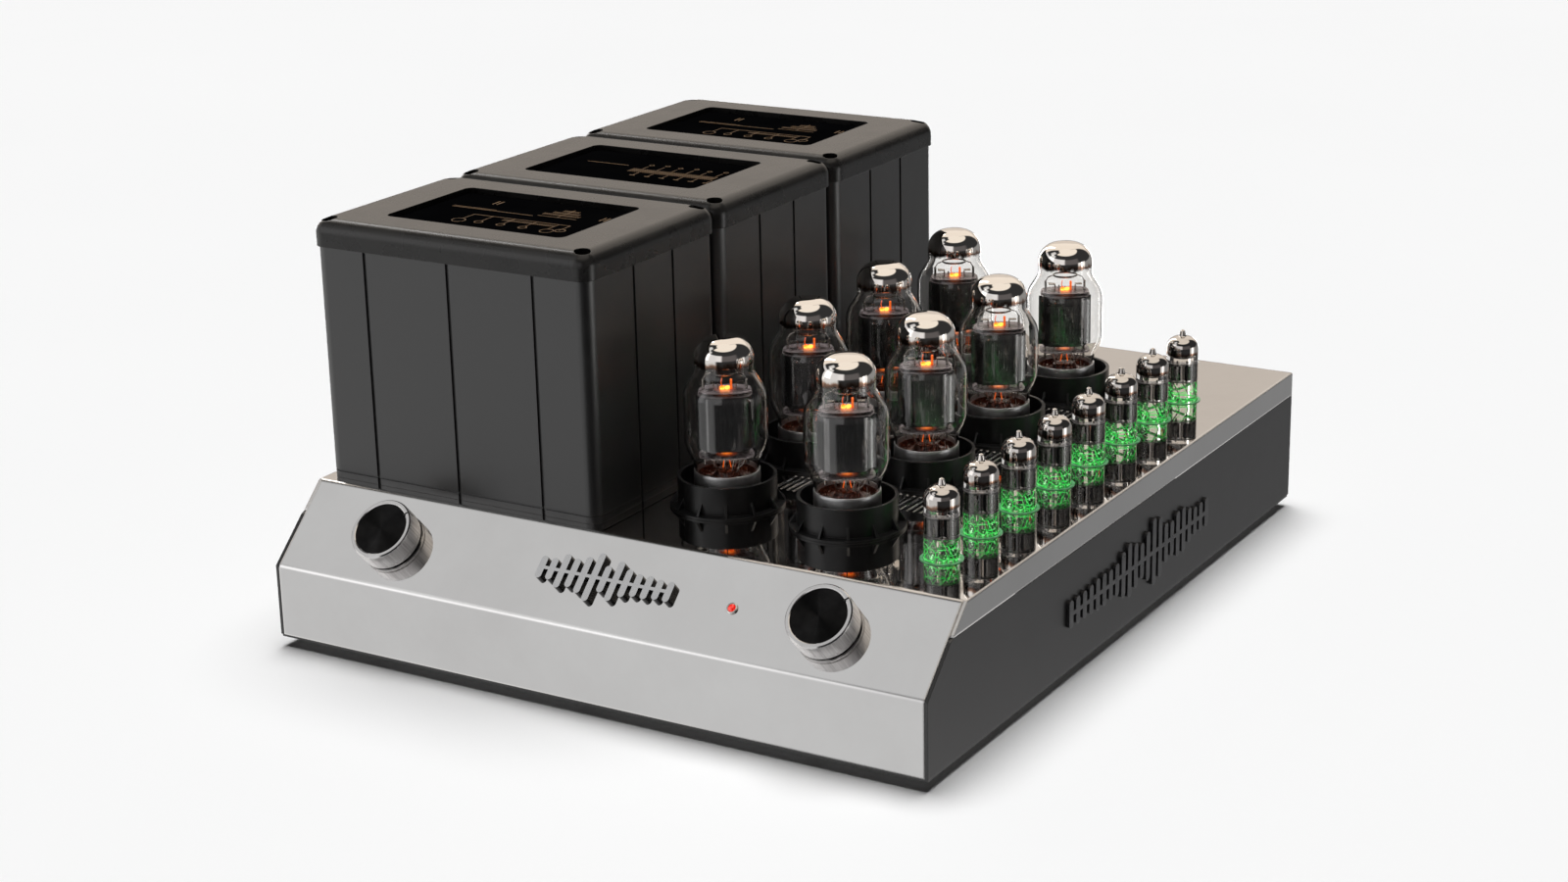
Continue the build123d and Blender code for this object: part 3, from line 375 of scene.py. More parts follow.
def finish(name, dark, light, blotch=40.0, rough=(0.3, 0.4), grain=900.0, bump=0.15, relief=0.05, edge=0.0,
           **values):
    """A painted, moulded or metal finish: two shades in soft blotches, uneven gloss and a fine grain."""
    paint = Paint(name)
    blotches = paint.noise(blotch, 4.0)
    grains = paint.noise(grain, 2.0)
    paint.colour(blotches, (0.3, dark), (0.7, light))
    paint.roughness(blotches, *rough)
    paint.bump(grains, bump, relief, edge)
    paint.set(**values)
    return paint.material


# ======================== materials of the case
def polished_steel():
    """Mirror-polished stainless steel with faint smears."""
    paint = Paint("polished_steel")
    smears = paint.noise(9.0, 5.0, 0.65)
    lines = paint.noise(260.0, 2.0, 0.5, stretch=(1.0, 0.06, 0.06))
    paint.colour(smears, (0.25, (0.60, 0.592, 0.585)), (0.75, (0.67, 0.665, 0.66)))
    paint.roughness(smears, 0.012, 0.05)
    paint.bump(lines, 0.03, 0.02, edge=1.6)
    paint.set(metallic=1.0)
    return paint.material


def layers(name, axis, count, dark, light, blotch, rough, bump, relief, metallic):
    """Stacked layers seen from the side, count of them in each metre along an axis."""
    paint = Paint(name)
    ridges = paint.maths("PINGPONG", paint.maths("MULTIPLY", paint.part(axis), count), 0.5)
    stains = paint.noise(blotch, 4.0)
    paint.colour(stains, (0.3, dark), (0.7, light))
    paint.roughness(stains, *rough)
    paint.bump(ridges, bump, relief)
    paint.set(metallic=metallic)
    return paint.material


def circuit_board():
    """Green solder mask with raised copper tracks."""
    paint = Paint("circuit_board")
    tracks = paint.node("ShaderNodeTexBrick", offset=0.37)
    tracks.inputs["Scale"].default_value = 90.0
    tracks.inputs["Mortar Size"].default_value = 0.035
    paint.wire(paint.place, tracks.inputs["Vector"])
    patch = paint.noise(35.0, 3.0)
    paint.colour(tracks.outputs["Fac"], (0.2, (0.008, 0.07, 0.028)), (0.8, (0.03, 0.17, 0.07)))
    paint.roughness(patch, 0.22, 0.4)
    paint.bump(tracks.outputs["Fac"], 0.4, 0.05)
    return paint.material


def sleeve():
    """Capacitor sleeve: dark film with pale patches."""
    paint = Paint("sleeve")
    stripe = paint.noise(14.0, 1.0)
    paint.colour(stripe, (0.55, (0.012, 0.014, 0.02)), (0.60, (0.25, 0.26, 0.28)))
    paint.roughness(paint.noise(200.0), 0.22, 0.36)
    paint.bump(paint.noise(500.0), 0.1, 0.05)
    return paint.material


def light_guide():
    """Clear ring lit green from below."""
    paint = Paint("light_guide")
    glow = paint.noise(420.0, 3.0)
    paint.light(glow, (0.3, (0.05, 0.55, 0.12)), (0.7, (0.45, 1.0, 0.55)))
    paint.colour(glow, (0.3, (0.06, 0.22, 0.09)), (0.7, (0.14, 0.38, 0.18)))
    paint.roughness(glow, 0.05, 0.15)
    paint.bump(glow, 0.1, 0.05)
    paint.set(emission_strength=0.08, ior=1.49)
    return paint.material


# ======================== materials of the tubes
def let_lamps_through(paint, surface):
    """Lamps reach what is inside the glass."""
    clear = paint.node("ShaderNodeBsdfTransparent")
    path = paint.node("ShaderNodeLightPath")
    either = paint.mix(path.outputs["Is Shadow Ray"], surface, clear.outputs[0])
    paint.wire(either, paint.output.inputs["Surface"])


def bulb_glass(name, edge, fade, crown):
    """Clear glass whose crown carries the getter, a mirror that ends in a brown smear."""
    paint = Paint(name)
    waves = paint.noise(55.0, 2.0)
    paint.set(base_color=(0.975, 0.965, 0.95), transmission_weight=1.0, ior=1.48)
    paint.wire(paint.span(waves, 0.3, 0.7, 0.0, 0.012), paint.shader.inputs["Roughness"])
    paint.bump(waves, 0.05, 0.12)
    mirror = paint.node("ShaderNodeBsdfPrincipled")
    mirror.inputs["Metallic"].default_value = 1.0
    streaks = paint.noise(160.0, 4.0, 0.6)
    uneven = paint.noise(240.0, 3.0)
    height = paint.maths("ADD", paint.part("Z"), paint.span(uneven, 0.3, 0.7, -fade * MM, fade * MM))
    cover = paint.span(height, (edge - fade) * MM, (edge + fade) * MM, smooth=True)
    smoke = paint.span(height, (edge - fade) * MM, (edge + 3.5 * fade) * MM, smooth=True)
    paint.wire(
        paint.ramp(smoke, (0.0, (0.06, 0.02, 0.008)), (0.45, (0.28, 0.17, 0.12)), (1.0, crown)),
        mirror.inputs["Base Color"],
    )
    paint.wire(paint.span(streaks, 0.3, 0.7, 0.015, 0.06), mirror.inputs["Roughness"])
    both = paint.mix(cover, paint.shader.outputs[0], mirror.outputs[0])
    let_lamps_through(paint, both)
    return paint.material


def anode_metal(name, dark, light):
    """Carbonised nickel sheet with faint rolling marks."""
    paint = Paint(name)
    marks = paint.noise(500.0, 3.0, 0.5, stretch=(1.0, 1.0, 0.08))
    stains = paint.noise(90.0, 4.0)
    paint.colour(stains, (0.3, dark), (0.7, light))
    paint.roughness(marks, 0.16, 0.26)
    paint.bump(marks, 0.12, 0.03)
    paint.set(metallic=1.0)
    return paint.material


def mica(name, painted_glow, dark, light):
    """Thin mineral sheet, pinkish grey, with a painted orange glow near its middle that stands in for the
    heater's light on it.
    """
    paint = Paint(name)
    flakes = paint.noise(320.0, 5.0, 0.7)
    paint.colour(flakes, (0.3, dark), (0.7, light))
    # painted glow: orange light fading out from the middle, for the heater's light falling on the mica
    paint.light(
        paint.span(paint.away(), 0.0, HEATER_GLOW_REACH * MM),
        (0.0, (1.0, 0.22, 0.02)), (0.55, (0.16, 0.02, 0.0)), (1.0, grey(0.0)),
    )
    paint.roughness(flakes, 0.2, 0.4)
    paint.bump(flakes, 0.25, 0.08)
    paint.set(emission_strength=painted_glow)
    return paint.material


def heater(name, edge_colour, core_colour, strength):
    """Glowing oxide-coated cathode."""
    paint = Paint(name)
    heat = paint.noise(450.0, 2.0)
    paint.light(heat, (0.35, edge_colour), (0.62, core_colour))
    paint.colour(heat, (0.3, (0.25, 0.05, 0.01)), (0.7, (0.5, 0.15, 0.04)))
    paint.roughness(heat, 0.5, 0.8)
    paint.set(emission_strength=strength)
    return paint.material


def stem_cement():
    """Red-brown cement and glass in the foot of the tube, with metallic bits of wire and spots of painted
    orange glow.
    """
    paint = Paint("stem_cement")
    lumps = paint.noise(330.0, 5.0, 0.7)
    wire_bits_and_glow = paint.noise(900.0, 3.0, 0.8)
    paint.colour(
        lumps, (0.35, (0.006, 0.0015, 0.001)), (0.58, (0.06, 0.013, 0.007)), (0.78, (0.55, 0.30, 0.20)),
    )
    # painted glow: orange emission on the brightest noise spots, which also carry the metal bits of wire
    paint.light(wire_bits_and_glow, (0.60, grey(0.0)), (0.74, (0.50, 0.09, 0.02)))
    paint.wire(paint.span(wire_bits_and_glow, 0.5, 0.62, 0.0, 0.9), paint.shader.inputs["Metallic"])
    paint.roughness(lumps, 0.12, 0.35)
    paint.bump(lumps, 0.7, 0.5)
    paint.set(emission_strength=0.35)
    return paint.material


def green_glow():
    """Green light caught on wires and glass in the lower third of a signal tube, with dark gaps."""
    paint = Paint("green_glow")
    cells = paint.node("ShaderNodeTexVoronoi", feature="DISTANCE_TO_EDGE")
    cells.inputs["Scale"].default_value = 300.0
    paint.wire(paint.stretched((1.0, 1.0, 0.6)), cells.inputs["Vector"])
    patches = paint.noise(300.0, 4.0, 0.75)
    light = paint.ramp(
        patches, (0.34, (0.0, 0.22, 0.02)), (0.48, (0.01, 0.66, 0.06)), (0.62, (0.15, 1.0, 0.22)),
        (0.72, (0.90, 1.0, 0.90)),
    )
    glow = paint.node("ShaderNodeEmission")
    glow.inputs["Strength"].default_value = 1.25
    paint.wire(light, glow.inputs["Color"])
    clear = paint.node("ShaderNodeBsdfTransparent")
    # threads of light are wide near the socket and thin higher up
    width = paint.span(paint.part("Z"), 1.0 * MM, 13.0 * MM, 0.05, 0.012)
    thread = paint.maths("LESS_THAN", cells.outputs["Distance"], width)
    blot = paint.maths("GREATER_THAN", patches, paint.span(paint.part("Z"), 0.0, 12.0 * MM, 0.60, 0.69))
    lit = paint.maths("MAXIMUM", paint.maths("MULTIPLY", thread, 0.75), blot)
    paint.wire(paint.mix(lit, clear.outputs[0], glow.outputs[0]), paint.output.inputs["Surface"])
    return paint.material


# ======================== materials of the controls
def spun_metal(name, dark, light, rough, tight, aniso):
    """Metal turned on a lathe: fine rings round the piece's own axis, which spread highlights outwards."""
    paint = Paint(name)
    rings = paint.maths("SINE", paint.maths("MULTIPLY", paint.away(), tight * 2 * pi))
    stains = paint.noise(140.0, 3.0)
    paint.colour(stains, (0.3, dark), (0.7, light))
    paint.roughness(stains, *rough)
    paint.bump(rings, 0.08, 0.02)
    tangent = paint.node("ShaderNodeTangent", direction_type="RADIAL", axis="Z")
    paint.wire(tangent.outputs[0], paint.shader.inputs["Tangent"])
    paint.set(metallic=1.0, anisotropic=aniso, anisotropic_rotation=0.25)
    return paint.material


def knurled_metal():
    """Bright metal with fine straight lines along the piece's own axis."""
    paint = Paint("knurled_metal")
    streaks = paint.noise(900.0, 3.0, 0.6, stretch=(1.0, 1.0, 0.02))
    fine = paint.noise(2600.0, 1.0, 0.5, stretch=(1.0, 1.0, 0.02))
    paint.colour(streaks, (0.3, (0.52, 0.50, 0.495)), (0.5, (0.76, 0.74, 0.73)), (0.72, (0.92, 0.90, 0.89)))
    paint.roughness(streaks, 0.30, 0.42)
    paint.bump(fine, 0.25, 0.05)
    paint.set(metallic=0.6)
    return paint.material


def jewel():
    """Red pilot lens, lit from behind."""
    paint = Paint("jewel")
    glow = paint.noise(900.0, 2.0)
    paint.light(glow, (0.35, (0.55, 0.0, 0.0)), (0.65, (1.0, 0.05, 0.02)))
    paint.colour(glow, (0.35, (0.35, 0.0, 0.0)), (0.65, (0.7, 0.02, 0.01)))
    paint.roughness(glow, 0.03, 0.1)
    paint.bump(glow, 0.2, 0.1)
    paint.set(emission_strength=0.8, coat_weight=1.0)
    return paint.material


STEEL = polished_steel()
PANEL_BLACK = finish(
    "panel_black", (0.006, 0.006, 0.0062), (0.010, 0.010, 0.0103),
    blotch=25.0, rough=(0.28, 0.36), grain=1700.0, edge=0.4, specular_ior_level=0.72,
)
COVER = finish(
    "cover_paint", (0.003, 0.003, 0.0031), (0.0055, 0.0055, 0.0056), blotch=55.0, rough=(0.34, 0.42),
    grain=1500.0, bump=0.3, relief=0.1, edge=0.5, specular_ior_level=0.92,
)
CAP = finish(
    "cap_paint", (0.012, 0.0112, 0.0105), (0.019, 0.0178, 0.0165),
    blotch=45.0, rough=(0.24, 0.31), grain=1800.0, bump=0.1, relief=0.04, edge=0.6, specular_ior_level=0.38,
)
WINDOW = finish(
    "window_glass", (0.0012, 0.0012, 0.0014), (0.002, 0.002, 0.0022), blotch=30.0, rough=(0.08, 0.14),
    grain=60.0, bump=0.02, relief=0.02, specular_ior_level=0.0,
)
# edges of stacked iron sheets, and turns of enamelled copper wire under varnish
IRON = layers(
    "laminations", "Y", 1000.0, (0.10, 0.10, 0.105), (0.19, 0.17, 0.15), 120.0, (0.35, 0.6), 0.5, 0.15, 0.9,
)
COPPER = layers(
    "winding", "Z", 900.0, (0.30, 0.10, 0.035), (0.48, 0.19, 0.07), 70.0, (0.25, 0.45), 0.6, 0.3, 0.8,
)
COLLAR = finish(
    "collar_black", (0.0035, 0.0035, 0.0037), (0.007, 0.007, 0.0073),
    blotch=80.0, rough=(0.30, 0.40), grain=1100.0, bump=0.12, relief=0.04, edge=0.5, specular_ior_level=0.42,
)
PHENOLIC = finish(
    "phenolic", (0.02, 0.012, 0.009), (0.035, 0.02, 0.014),
    blotch=220.0, rough=(0.35, 0.5), bump=0.2, relief=0.08,
)
CERAMIC = finish(
    "ceramic", (0.55, 0.52, 0.47), (0.68, 0.65, 0.60),
    blotch=200.0, rough=(0.4, 0.55), bump=0.1, relief=0.05,
)
GUIDE = light_guide()
BOARD = circuit_board()
SLEEVE = sleeve()
SWITCH = finish(
    "switch_metal", (0.35, 0.35, 0.36), grey(0.5), blotch=120.0, rough=(0.3, 0.45), metallic=1.0,
)
RUBBER = finish(
    "foot_rubber", grey(0.01), grey(0.02),
    blotch=150.0, rough=(0.6, 0.75), grain=1200.0, bump=0.4, relief=0.1,
)
EMBLEM_FACE = finish(
    "emblem_face", (0.52, 0.52, 0.53), grey(0.68), blotch=200.0, rough=(0.16, 0.26), grain=1500.0,
    bump=0.08, relief=0.03, metallic=1.0,
)
# painted shade: near-black for the emblem's sides, in place of the shade and dark reflection along them
EMBLEM_SHADE = finish(
    "emblem_painted_shade", grey(0.006), grey(0.012), blotch=120.0, rough=(0.2, 0.32), bump=0.1,
)
GUNMETAL = finish(
    "gunmetal", (0.085, 0.085, 0.088), (0.13, 0.13, 0.133), blotch=160.0, rough=(0.26, 0.38), grain=1500.0,
    bump=0.1, relief=0.04, edge=0.5, metallic=0.9,
)
SCREW = finish(
    "screw_black", grey(0.012), grey(0.03), blotch=300.0, rough=(0.25, 0.4), metallic=0.8,
)
CONNECTOR = finish(
    "connector_black", grey(0.008), grey(0.016),
    blotch=120.0, rough=(0.28, 0.4), grain=1300.0, bump=0.15, relief=0.05, edge=0.3,
)
NICKEL = finish(
    "nickel", (0.55, 0.54, 0.51), (0.68, 0.66, 0.63),
    blotch=200.0, rough=(0.12, 0.25), metallic=1.0, edge=0.3,
)
GOLD = finish(
    "gold_plate", (0.75, 0.48, 0.17), (0.9, 0.62, 0.26),
    blotch=200.0, rough=(0.12, 0.24), metallic=1.0, edge=0.3,
)
RED_PLASTIC = finish(
    "red_plastic", (0.35, 0.008, 0.006), (0.5, 0.015, 0.01), blotch=150.0, rough=(0.22, 0.34), edge=0.3,
)
BLACK_PLASTIC = finish(
    "black_plastic", (0.008, 0.008, 0.009), (0.015, 0.015, 0.016),
    blotch=150.0, rough=(0.22, 0.34), edge=0.3,
)
BRONZE_INK = finish(
    "bronze_ink", (0.15, 0.08, 0.028), (0.26, 0.145, 0.055), blotch=600.0, rough=(0.35, 0.5), metallic=0.5,
)
POWER_GLASS = bulb_glass("power_glass", GETTER_EDGE, 1.3, (0.84, 0.80, 0.755))
SIGNAL_GLASS = bulb_glass("signal_glass", SIGNAL_GETTER_EDGE, 0.9, (0.62, 0.59, 0.56))
ANODE = anode_metal("anode_metal", (0.12, 0.12, 0.122), (0.18, 0.18, 0.183))
SIGNAL_ANODE = anode_metal("signal_anode_metal", (0.10, 0.096, 0.092), (0.17, 0.165, 0.158))
# the power tube's micas carry a painted heater glow of strength 1; the signal tube's micas have none
MICA = mica("mica", 1.0, (0.07, 0.058, 0.06), (0.17, 0.145, 0.15))
SIGNAL_MICA = mica("signal_mica", 0.0, (0.03, 0.027, 0.027), (0.10, 0.092, 0.092))
ROD = finish(
    "tube_wire", (0.30, 0.28, 0.26), (0.50, 0.47, 0.44), blotch=400.0, rough=(0.18, 0.3), metallic=1.0,
)
HOT = heater("heater_hot", (1.0, 0.12, 0.004), (1.0, 0.38, 0.05), 3.6)
WARM = heater("heater_warm", (0.6, 0.04, 0.0), (0.9, 0.14, 0.01), 1.0)
CEMENT = stem_cement()
GLOW = green_glow()
BASE_METAL = spun_metal("base_metal", (0.50, 0.50, 0.505), grey(0.62), (0.36, 0.46), 900.0, 0.3)
KNURLED = knurled_metal()
KNOB_METAL = spun_metal("knob_metal", (0.56, 0.55, 0.545), (0.68, 0.67, 0.665), (0.10, 0.18), 1500.0, 0.75)
KNOB_INSERT = spun_metal(
    "knob_insert", (0.010, 0.010, 0.0103), (0.016, 0.016, 0.0163), (0.28, 0.32), 2200.0, 1.0,
)
# painted shade: black for the knob's pointer notch, in place of the shade in a groove
NOTCH_SHADE = finish("notch_painted_shade", grey(0.004), grey(0.01), blotch=500.0, rough=(0.3, 0.5))
JEWEL = jewel()


# ======================== CAD nodes
def dress(node, *materials, choose=None):
    """Gives a CAD node its materials. choose(centre, normal) picks a number for each face."""
    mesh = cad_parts[node].data
    mesh.materials.clear()
    for item in materials:
        mesh.materials.append(item)
    numbers = [choose(face.center, face.normal) if choose else 0 for face in mesh.polygons]
    mesh.polygons.foreach_set("material_index", numbers)


def middle(node):
    low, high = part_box(node)
    return (low + high) / 2


def dress_plain():
    """The nodes that have one material each."""
    plain = {
        "chassis_shell": STEEL, "side_panel_left": PANEL_BLACK, "side_panel_right": PANEL_BLACK,
        "rear_panel": PANEL_BLACK, "bottom_plate": PANEL_BLACK, "feet": RUBBER, "case_screws": SCREW,
        "cap_windows": WINDOW, "transformer_cores": IRON, "transformer_windings": COPPER,
        "tube_collars": COLLAR, "power_sockets": CERAMIC, "signal_sockets": PHENOLIC, "light_rings": GUIDE,
        "signal_board": BOARD, "supply_board": BOARD, "filter_capacitors": SLEEVE,
        "rotary_switches": SWITCH, "side_emblems": GUNMETAL, "rca_jacks": GOLD, "fuse_holder": CONNECTOR,
        "input_switch_body": SWITCH, "input_switch_slider": CONNECTOR,
    }
    for number in (1, 2, 3):
        plain[f"transformer_cover_{number}"] = COVER
        plain[f"transformer_cap_{number}"] = CAP
    for node, material in plain.items():
        dress(node, material)


def dress_emblem():
    """The front emblem's bars have bright faces, and their sides carry painted shade in black."""
    def bar_kind(centre, normal):
        # faces towards the panel's normal get the bright metal; all others get the painted shade
        return int(normal.dot(SLOPE_NORMAL) > 0.9)

    dress("front_emblem", EMBLEM_SHADE, EMBLEM_FACE, choose=bar_kind)


def dress_rear():
    """Terminals with red and black caps on gold posts, and jacks with bright contacts."""
    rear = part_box("rear_panel")[1].y
    first_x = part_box("speaker_terminals")[0].x + WASHER_RADIUS * MM

    def terminal_kind(centre, normal):
        # a black washer lies against the panel, then a little of the post shows below the cap
        if centre.y < rear + 3.5 * MM and centre.y > rear - 0.5 * MM:
            return 1
        if centre.y < rear + 5.2 * MM:
            return 2
        return 0 if round((centre.x - first_x) / (TERMINAL_PITCH * MM)) % 2 else 1

    dress("speaker_terminals", RED_PLASTIC, BLACK_PLASTIC, GOLD, choose=terminal_kind)
    dress("xlr_jacks", CONNECTOR, NICKEL, choose=lambda centre, normal: int(centre.y > rear + 2.1 * MM))
    dress("mains_inlet", CONNECTOR, NICKEL, choose=inlet_kind)


def inlet_kind(centre, normal):
    """The three contact blades stand in the middle of the inlet's recess."""
    inlet = middle("mains_inlet")
    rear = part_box("rear_panel")[1].y
    inside = abs(centre.x - inlet.x) < 8.2 * MM and abs(centre.z - inlet.z) < 4.2 * MM
    return int(inside and rear - 14.5 * MM < centre.y < rear - 3.0 * MM)


case_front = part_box("chassis_shell")[0].y
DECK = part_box("chassis_shell")[1].z
SLOPE_ANGLE = atan2(SLOPE_HEIGHT, SLOPE_SETBACK)
SLOPE_NORMAL = Vector((0, -sin(SLOPE_ANGLE), cos(SLOPE_ANGLE)))
SLOPE_UP = Vector((0, cos(SLOPE_ANGLE), sin(SLOPE_ANGLE)))
SLOPE_AXES = Matrix((Vector((1, 0, 0)), SLOPE_UP, SLOPE_NORMAL)).transposed()
# the electrodes stand at an angle to the case, their broad side towards the front right
TURNED = Matrix.Rotation(radians(ELECTRODE_TURN), 3, "Z")

dress_plain()
dress_emblem()
dress_rear()


# ======================== power tubes
def bulb_points(inset):
    """Half outline of the bulb from the neck to the crown."""
    return [
        (18.9 - inset, 7.4),
        (18.9 - inset, 25.0),
        (24.85 - inset, 37.0),
        (24.85 - inset, 69.5),
        (17.6 - inset, 81.0),
        (17.6 - inset, 101.0 - inset),
        (0, POWER_HEIGHT - inset),
    ]


def power_bulb():
    shape = Shape()
    outer = rounded(bulb_points(0), (20, 20, 16, 7, 12.5), 14)
    inner = rounded(bulb_points(GLASS_WALL), (20, 20, 16, 7, 12.5 - GLASS_WALL), 14)
    shape.lathe(outer + inner[::-1], closed=True)
    return shape.mesh("power_bulb", [POWER_GLASS])


def power_ring():
    """Rolled metal ring round the foot of the tube, over a moulded floor."""
    shape = Shape()
    outside = rounded(
        [(BASE_RADIUS - 1.4, BASE_BOTTOM + 0.4), (BASE_RADIUS, BASE_BOTTOM + 0.4), (BASE_RADIUS, 20.4),
         (BASE_RADIUS - 0.15, BASE_TOP), (BASE_RADIUS - 0.7, BASE_TOP)],
        (1.0, 0.3, 0.28), 5,
    )
    inside = [(BASE_RADIUS - 0.72, 20.6), (BASE_RADIUS - 0.6, 7.0), (BASE_RADIUS - 1.6, 5.0)]
    shape.lathe(outside + inside, closed=True)
    # small pressed bead below the rim
    turns = [pi / 6 * i for i in range(12)]
    bead = [(BASE_RADIUS - 0.3 + 0.28 * cos(turn), 18.6 + 0.5 * sin(turn)) for turn in turns]
    shape.lathe(bead, closed=True)
    return shape.mesh("power_ring", [BASE_METAL])


def power_foot():
    """Moulded floor with eight pins round a key."""
    shape = Shape()
    rim = [(17.6, BASE_BOTTOM), (18.4, BASE_BOTTOM + 0.8), (18.4, 6.6), (17.9, 7.2)]
    shape.lathe([(0, BASE_BOTTOM)] + rim + [(0, 7.2)])
    key = [(0, -11.0), (2.8, -11.0), (3.9, -9.4), (3.9, BASE_BOTTOM - 0.1), (0, BASE_BOTTOM - 0.1)]
    shape.lathe(key, segments=24)
    shape.prism(bar(1.2, 1.0, (0, -4.1)), -8.5, BASE_BOTTOM - 0.1)
    for number in range(8):
        turn = radians(22.5 + 45 * number)
        spot = (OCTAL_PIN_REACH * cos(turn), OCTAL_PIN_REACH * sin(turn), 0)
        pin = [(0, -8.0), (0.7, -7.8), (1.12, -7.0), (1.12, BASE_BOTTOM - 0.05), (0, BASE_BOTTOM - 0.05)]
        shape.lathe(pin, kind=1, segments=12, at=spot)
    return shape.mesh("power_foot", [PHENOLIC, NICKEL])


def power_stem():
    """Cement ring, glass press and the leads that fan out of it."""
    shape = Shape()
    mound = rounded(
        [(17.4, 8.0), (17.4, 15.5), (13.0, 17.0), (9.0, 14.8), (7.0, 21.5), (0, 22.6)],
        (1.2, 2.0, 2.0, 1.5), 5,
    )
    shape.lathe(mound, kind=0)
    shape.lathe([(17.5, 8.0), (17.5, 19.5), (16.9, 19.6), (16.9, 8.0)], kind=0, closed=True)
    for number in range(10):
        turn = 2 * pi * number / 10 + 0.2
        reach = 10.5 + 2.5 * sin(number * 2.3)
        foot = Vector((6.0 * cos(turn), 5.0 * sin(turn), 20.5))
        knee = Vector((reach * cos(turn) * 0.8, reach * sin(turn) * 0.5, 25.0))
        head = Vector((reach * cos(turn), reach * sin(turn) * 0.45, 30.2))
        shape.wire([foot, foot.lerp(knee, 0.5) + Vector((0, 0, 0.6)), knee, head], 0.35, kind=1)
    for number in range(16):
        turn = 2 * pi * number / 16
        spot = Vector((12.6 * cos(turn), 12.6 * sin(turn), 16.4))
        tip = spot + Vector((2.2 * cos(turn + 1.2), 2.2 * sin(turn + 1.2), 2.6 + 1.4 * sin(number * 1.9)))
        shape.wire([spot, spot.lerp(tip, 0.5) + Vector((0, 0, 0.9)), tip], 0.3, kind=1, sides=6)
    return shape.mesh("power_stem", [CEMENT, ROD])


def power_anode():
    """Ribbed plate box with side seams, open at both ends."""
    shape = Shape()
    outline = round_outline(30.0, 17.2, 8.5, 12)
    shape.prism(outline, ANODE_BOTTOM, ANODE_TOP, bevel=0.5)
    for side in (-1, 1):
        for x in (-9.2, -4.4, 4.4, 9.2):
            shape.prism(bar(1.1, 1.0, (x, side * 8.3)), ANODE_BOTTOM + 0.6, ANODE_TOP - 0.6, bevel=0.2)
        # seam flanges
        shape.prism(bar(2.4, 0.7, (side * 15.8, 0)), ANODE_BOTTOM, ANODE_TOP, bevel=0.15)
        for step in range(4):
            clip = ANODE_BOTTOM + 4.0 + 7.6 * step
            shape.prism(bar(1.2, 1.8, (side * 15.9, 0)), clip, clip + 2.2, bevel=0.3)
    return shape.mesh("power_anode", [ANODE])


def mica_outline(width, depth, teeth):
    """An oval sheet with clipped corners and a toothed rim."""
    out = []
    count = 96
    for i in range(count):
        turn = 2 * pi * i / count
        c = cos(turn)
        s = sin(turn)
        reach = (abs(c) ** 3.2 + abs(s) ** 3.2) ** (-1 / 3.2)
        bite = 1 - 0.022 * (sin(turn * teeth) > 0.2)
        out.append((width / 2 * c * reach * bite, depth / 2 * s * reach * bite))
    return out


def power_micas():
    shape = Shape()
    for height, width, depth in ((30.4, 33.0, 22.0), (67.6, 32.0, 22.0), (69.6, 31.0, 21.0)):
        shape.prism(mica_outline(width, depth, 20), height, height + 0.45, bevel=0.08)
    return shape.mesh("power_micas", [MICA], sharp=30)


def power_frame():
    """Support rods, grid posts with their fins and the getter's hoop."""
    shape = Shape()
    for x, radius in ((-12.6, 0.75), (12.6, 0.75), (-6.6, 0.45), (6.6, 0.45), (-3.9, 0.4), (3.9, 0.4)):
        top = 77.0 if abs(x) > 10 else 73.6
        shape.wire([(x, 0, 24.5), (x, 0, 40.0), (x, 0, 60.0), (x, 0, top)], radius)
    for x in (-8.6, 8.6):
        # cooling fins on the grid posts
        shape.prism(round_outline(4.6, 6.0, 0.8, 3), 74.4, 74.8, bevel=0.1, at=(x, 0, 0))
    hoop = [(7.6 * cos(2 * pi * i / 40), 6.4 * sin(2 * pi * i / 40), 80.5) for i in range(41)]
    shape.wire(hoop, 0.55)
    for side in (-1, 1):
        shape.wire([(side * 12.6, 0, 76.6), (side * 11.0, 0, 79.4), (side * 7.6, 0, 80.5)], 0.35)
    return shape.mesh("power_frame", [ROD])


def power_heater():
    """Cathode ends that glow above the upper mica and below the lower one."""
    shape = Shape()
    for x in (-1.5, 1.5):
        shape.prism(round_outline(2.8, 2.2, 1.0, 4), 70.0, 72.0, kind=0, bevel=0.4, at=(x, 0, 0))
        shape.prism(round_outline(2.5, 1.8, 0.8, 4), 27.6, 30.2, kind=1, bevel=0.3, at=(x, 0, 0))
        shape.wire([(x, 0, 27.6), (x * 1.3, 0.8, 24.6), (x * 1.6, 1.2, 22.0)], 0.3, kind=1, sides=6)
    # warm strap that leads up from the cathode
    shape.prism(round_outline(1.3, 2.4, 0.4, 3), 70.0, 76.5, kind=1, bevel=0.2, at=(3.7, 0.4, 0))
    shape.wire([(-1.5, 0, 71.6), (-2.2, 0.6, 74.0), (-1.6, 1.0, 77.0)], 0.3, kind=1, sides=6)
    return shape.mesh("power_heater", [HOT, WARM])


def build_power_tubes():
    """Eight tubes share their meshes; each set rides on its own body."""
    meshes = {
        "bulb": power_bulb(), "ring": power_ring(), "foot": power_foot(), "stem": power_stem(),
        "anode": power_anode(), "micas": power_micas(), "frame": power_frame(), "heater": power_heater(),
    }
    for number in range(1, 9):
        tube = f"power_tube_{number}"
        centre = middle(f"{tube}_glass")
        for part, mesh in meshes.items():
            kind = "glass" if part == "bulb" else "base"
            place(
                f"{tube}_{part}", mesh, tube, at=(centre.x, centre.y, DECK),
                axes=None if part in ("ring", "foot") else TURNED, replaces=[f"{tube}_{kind}"],
            )


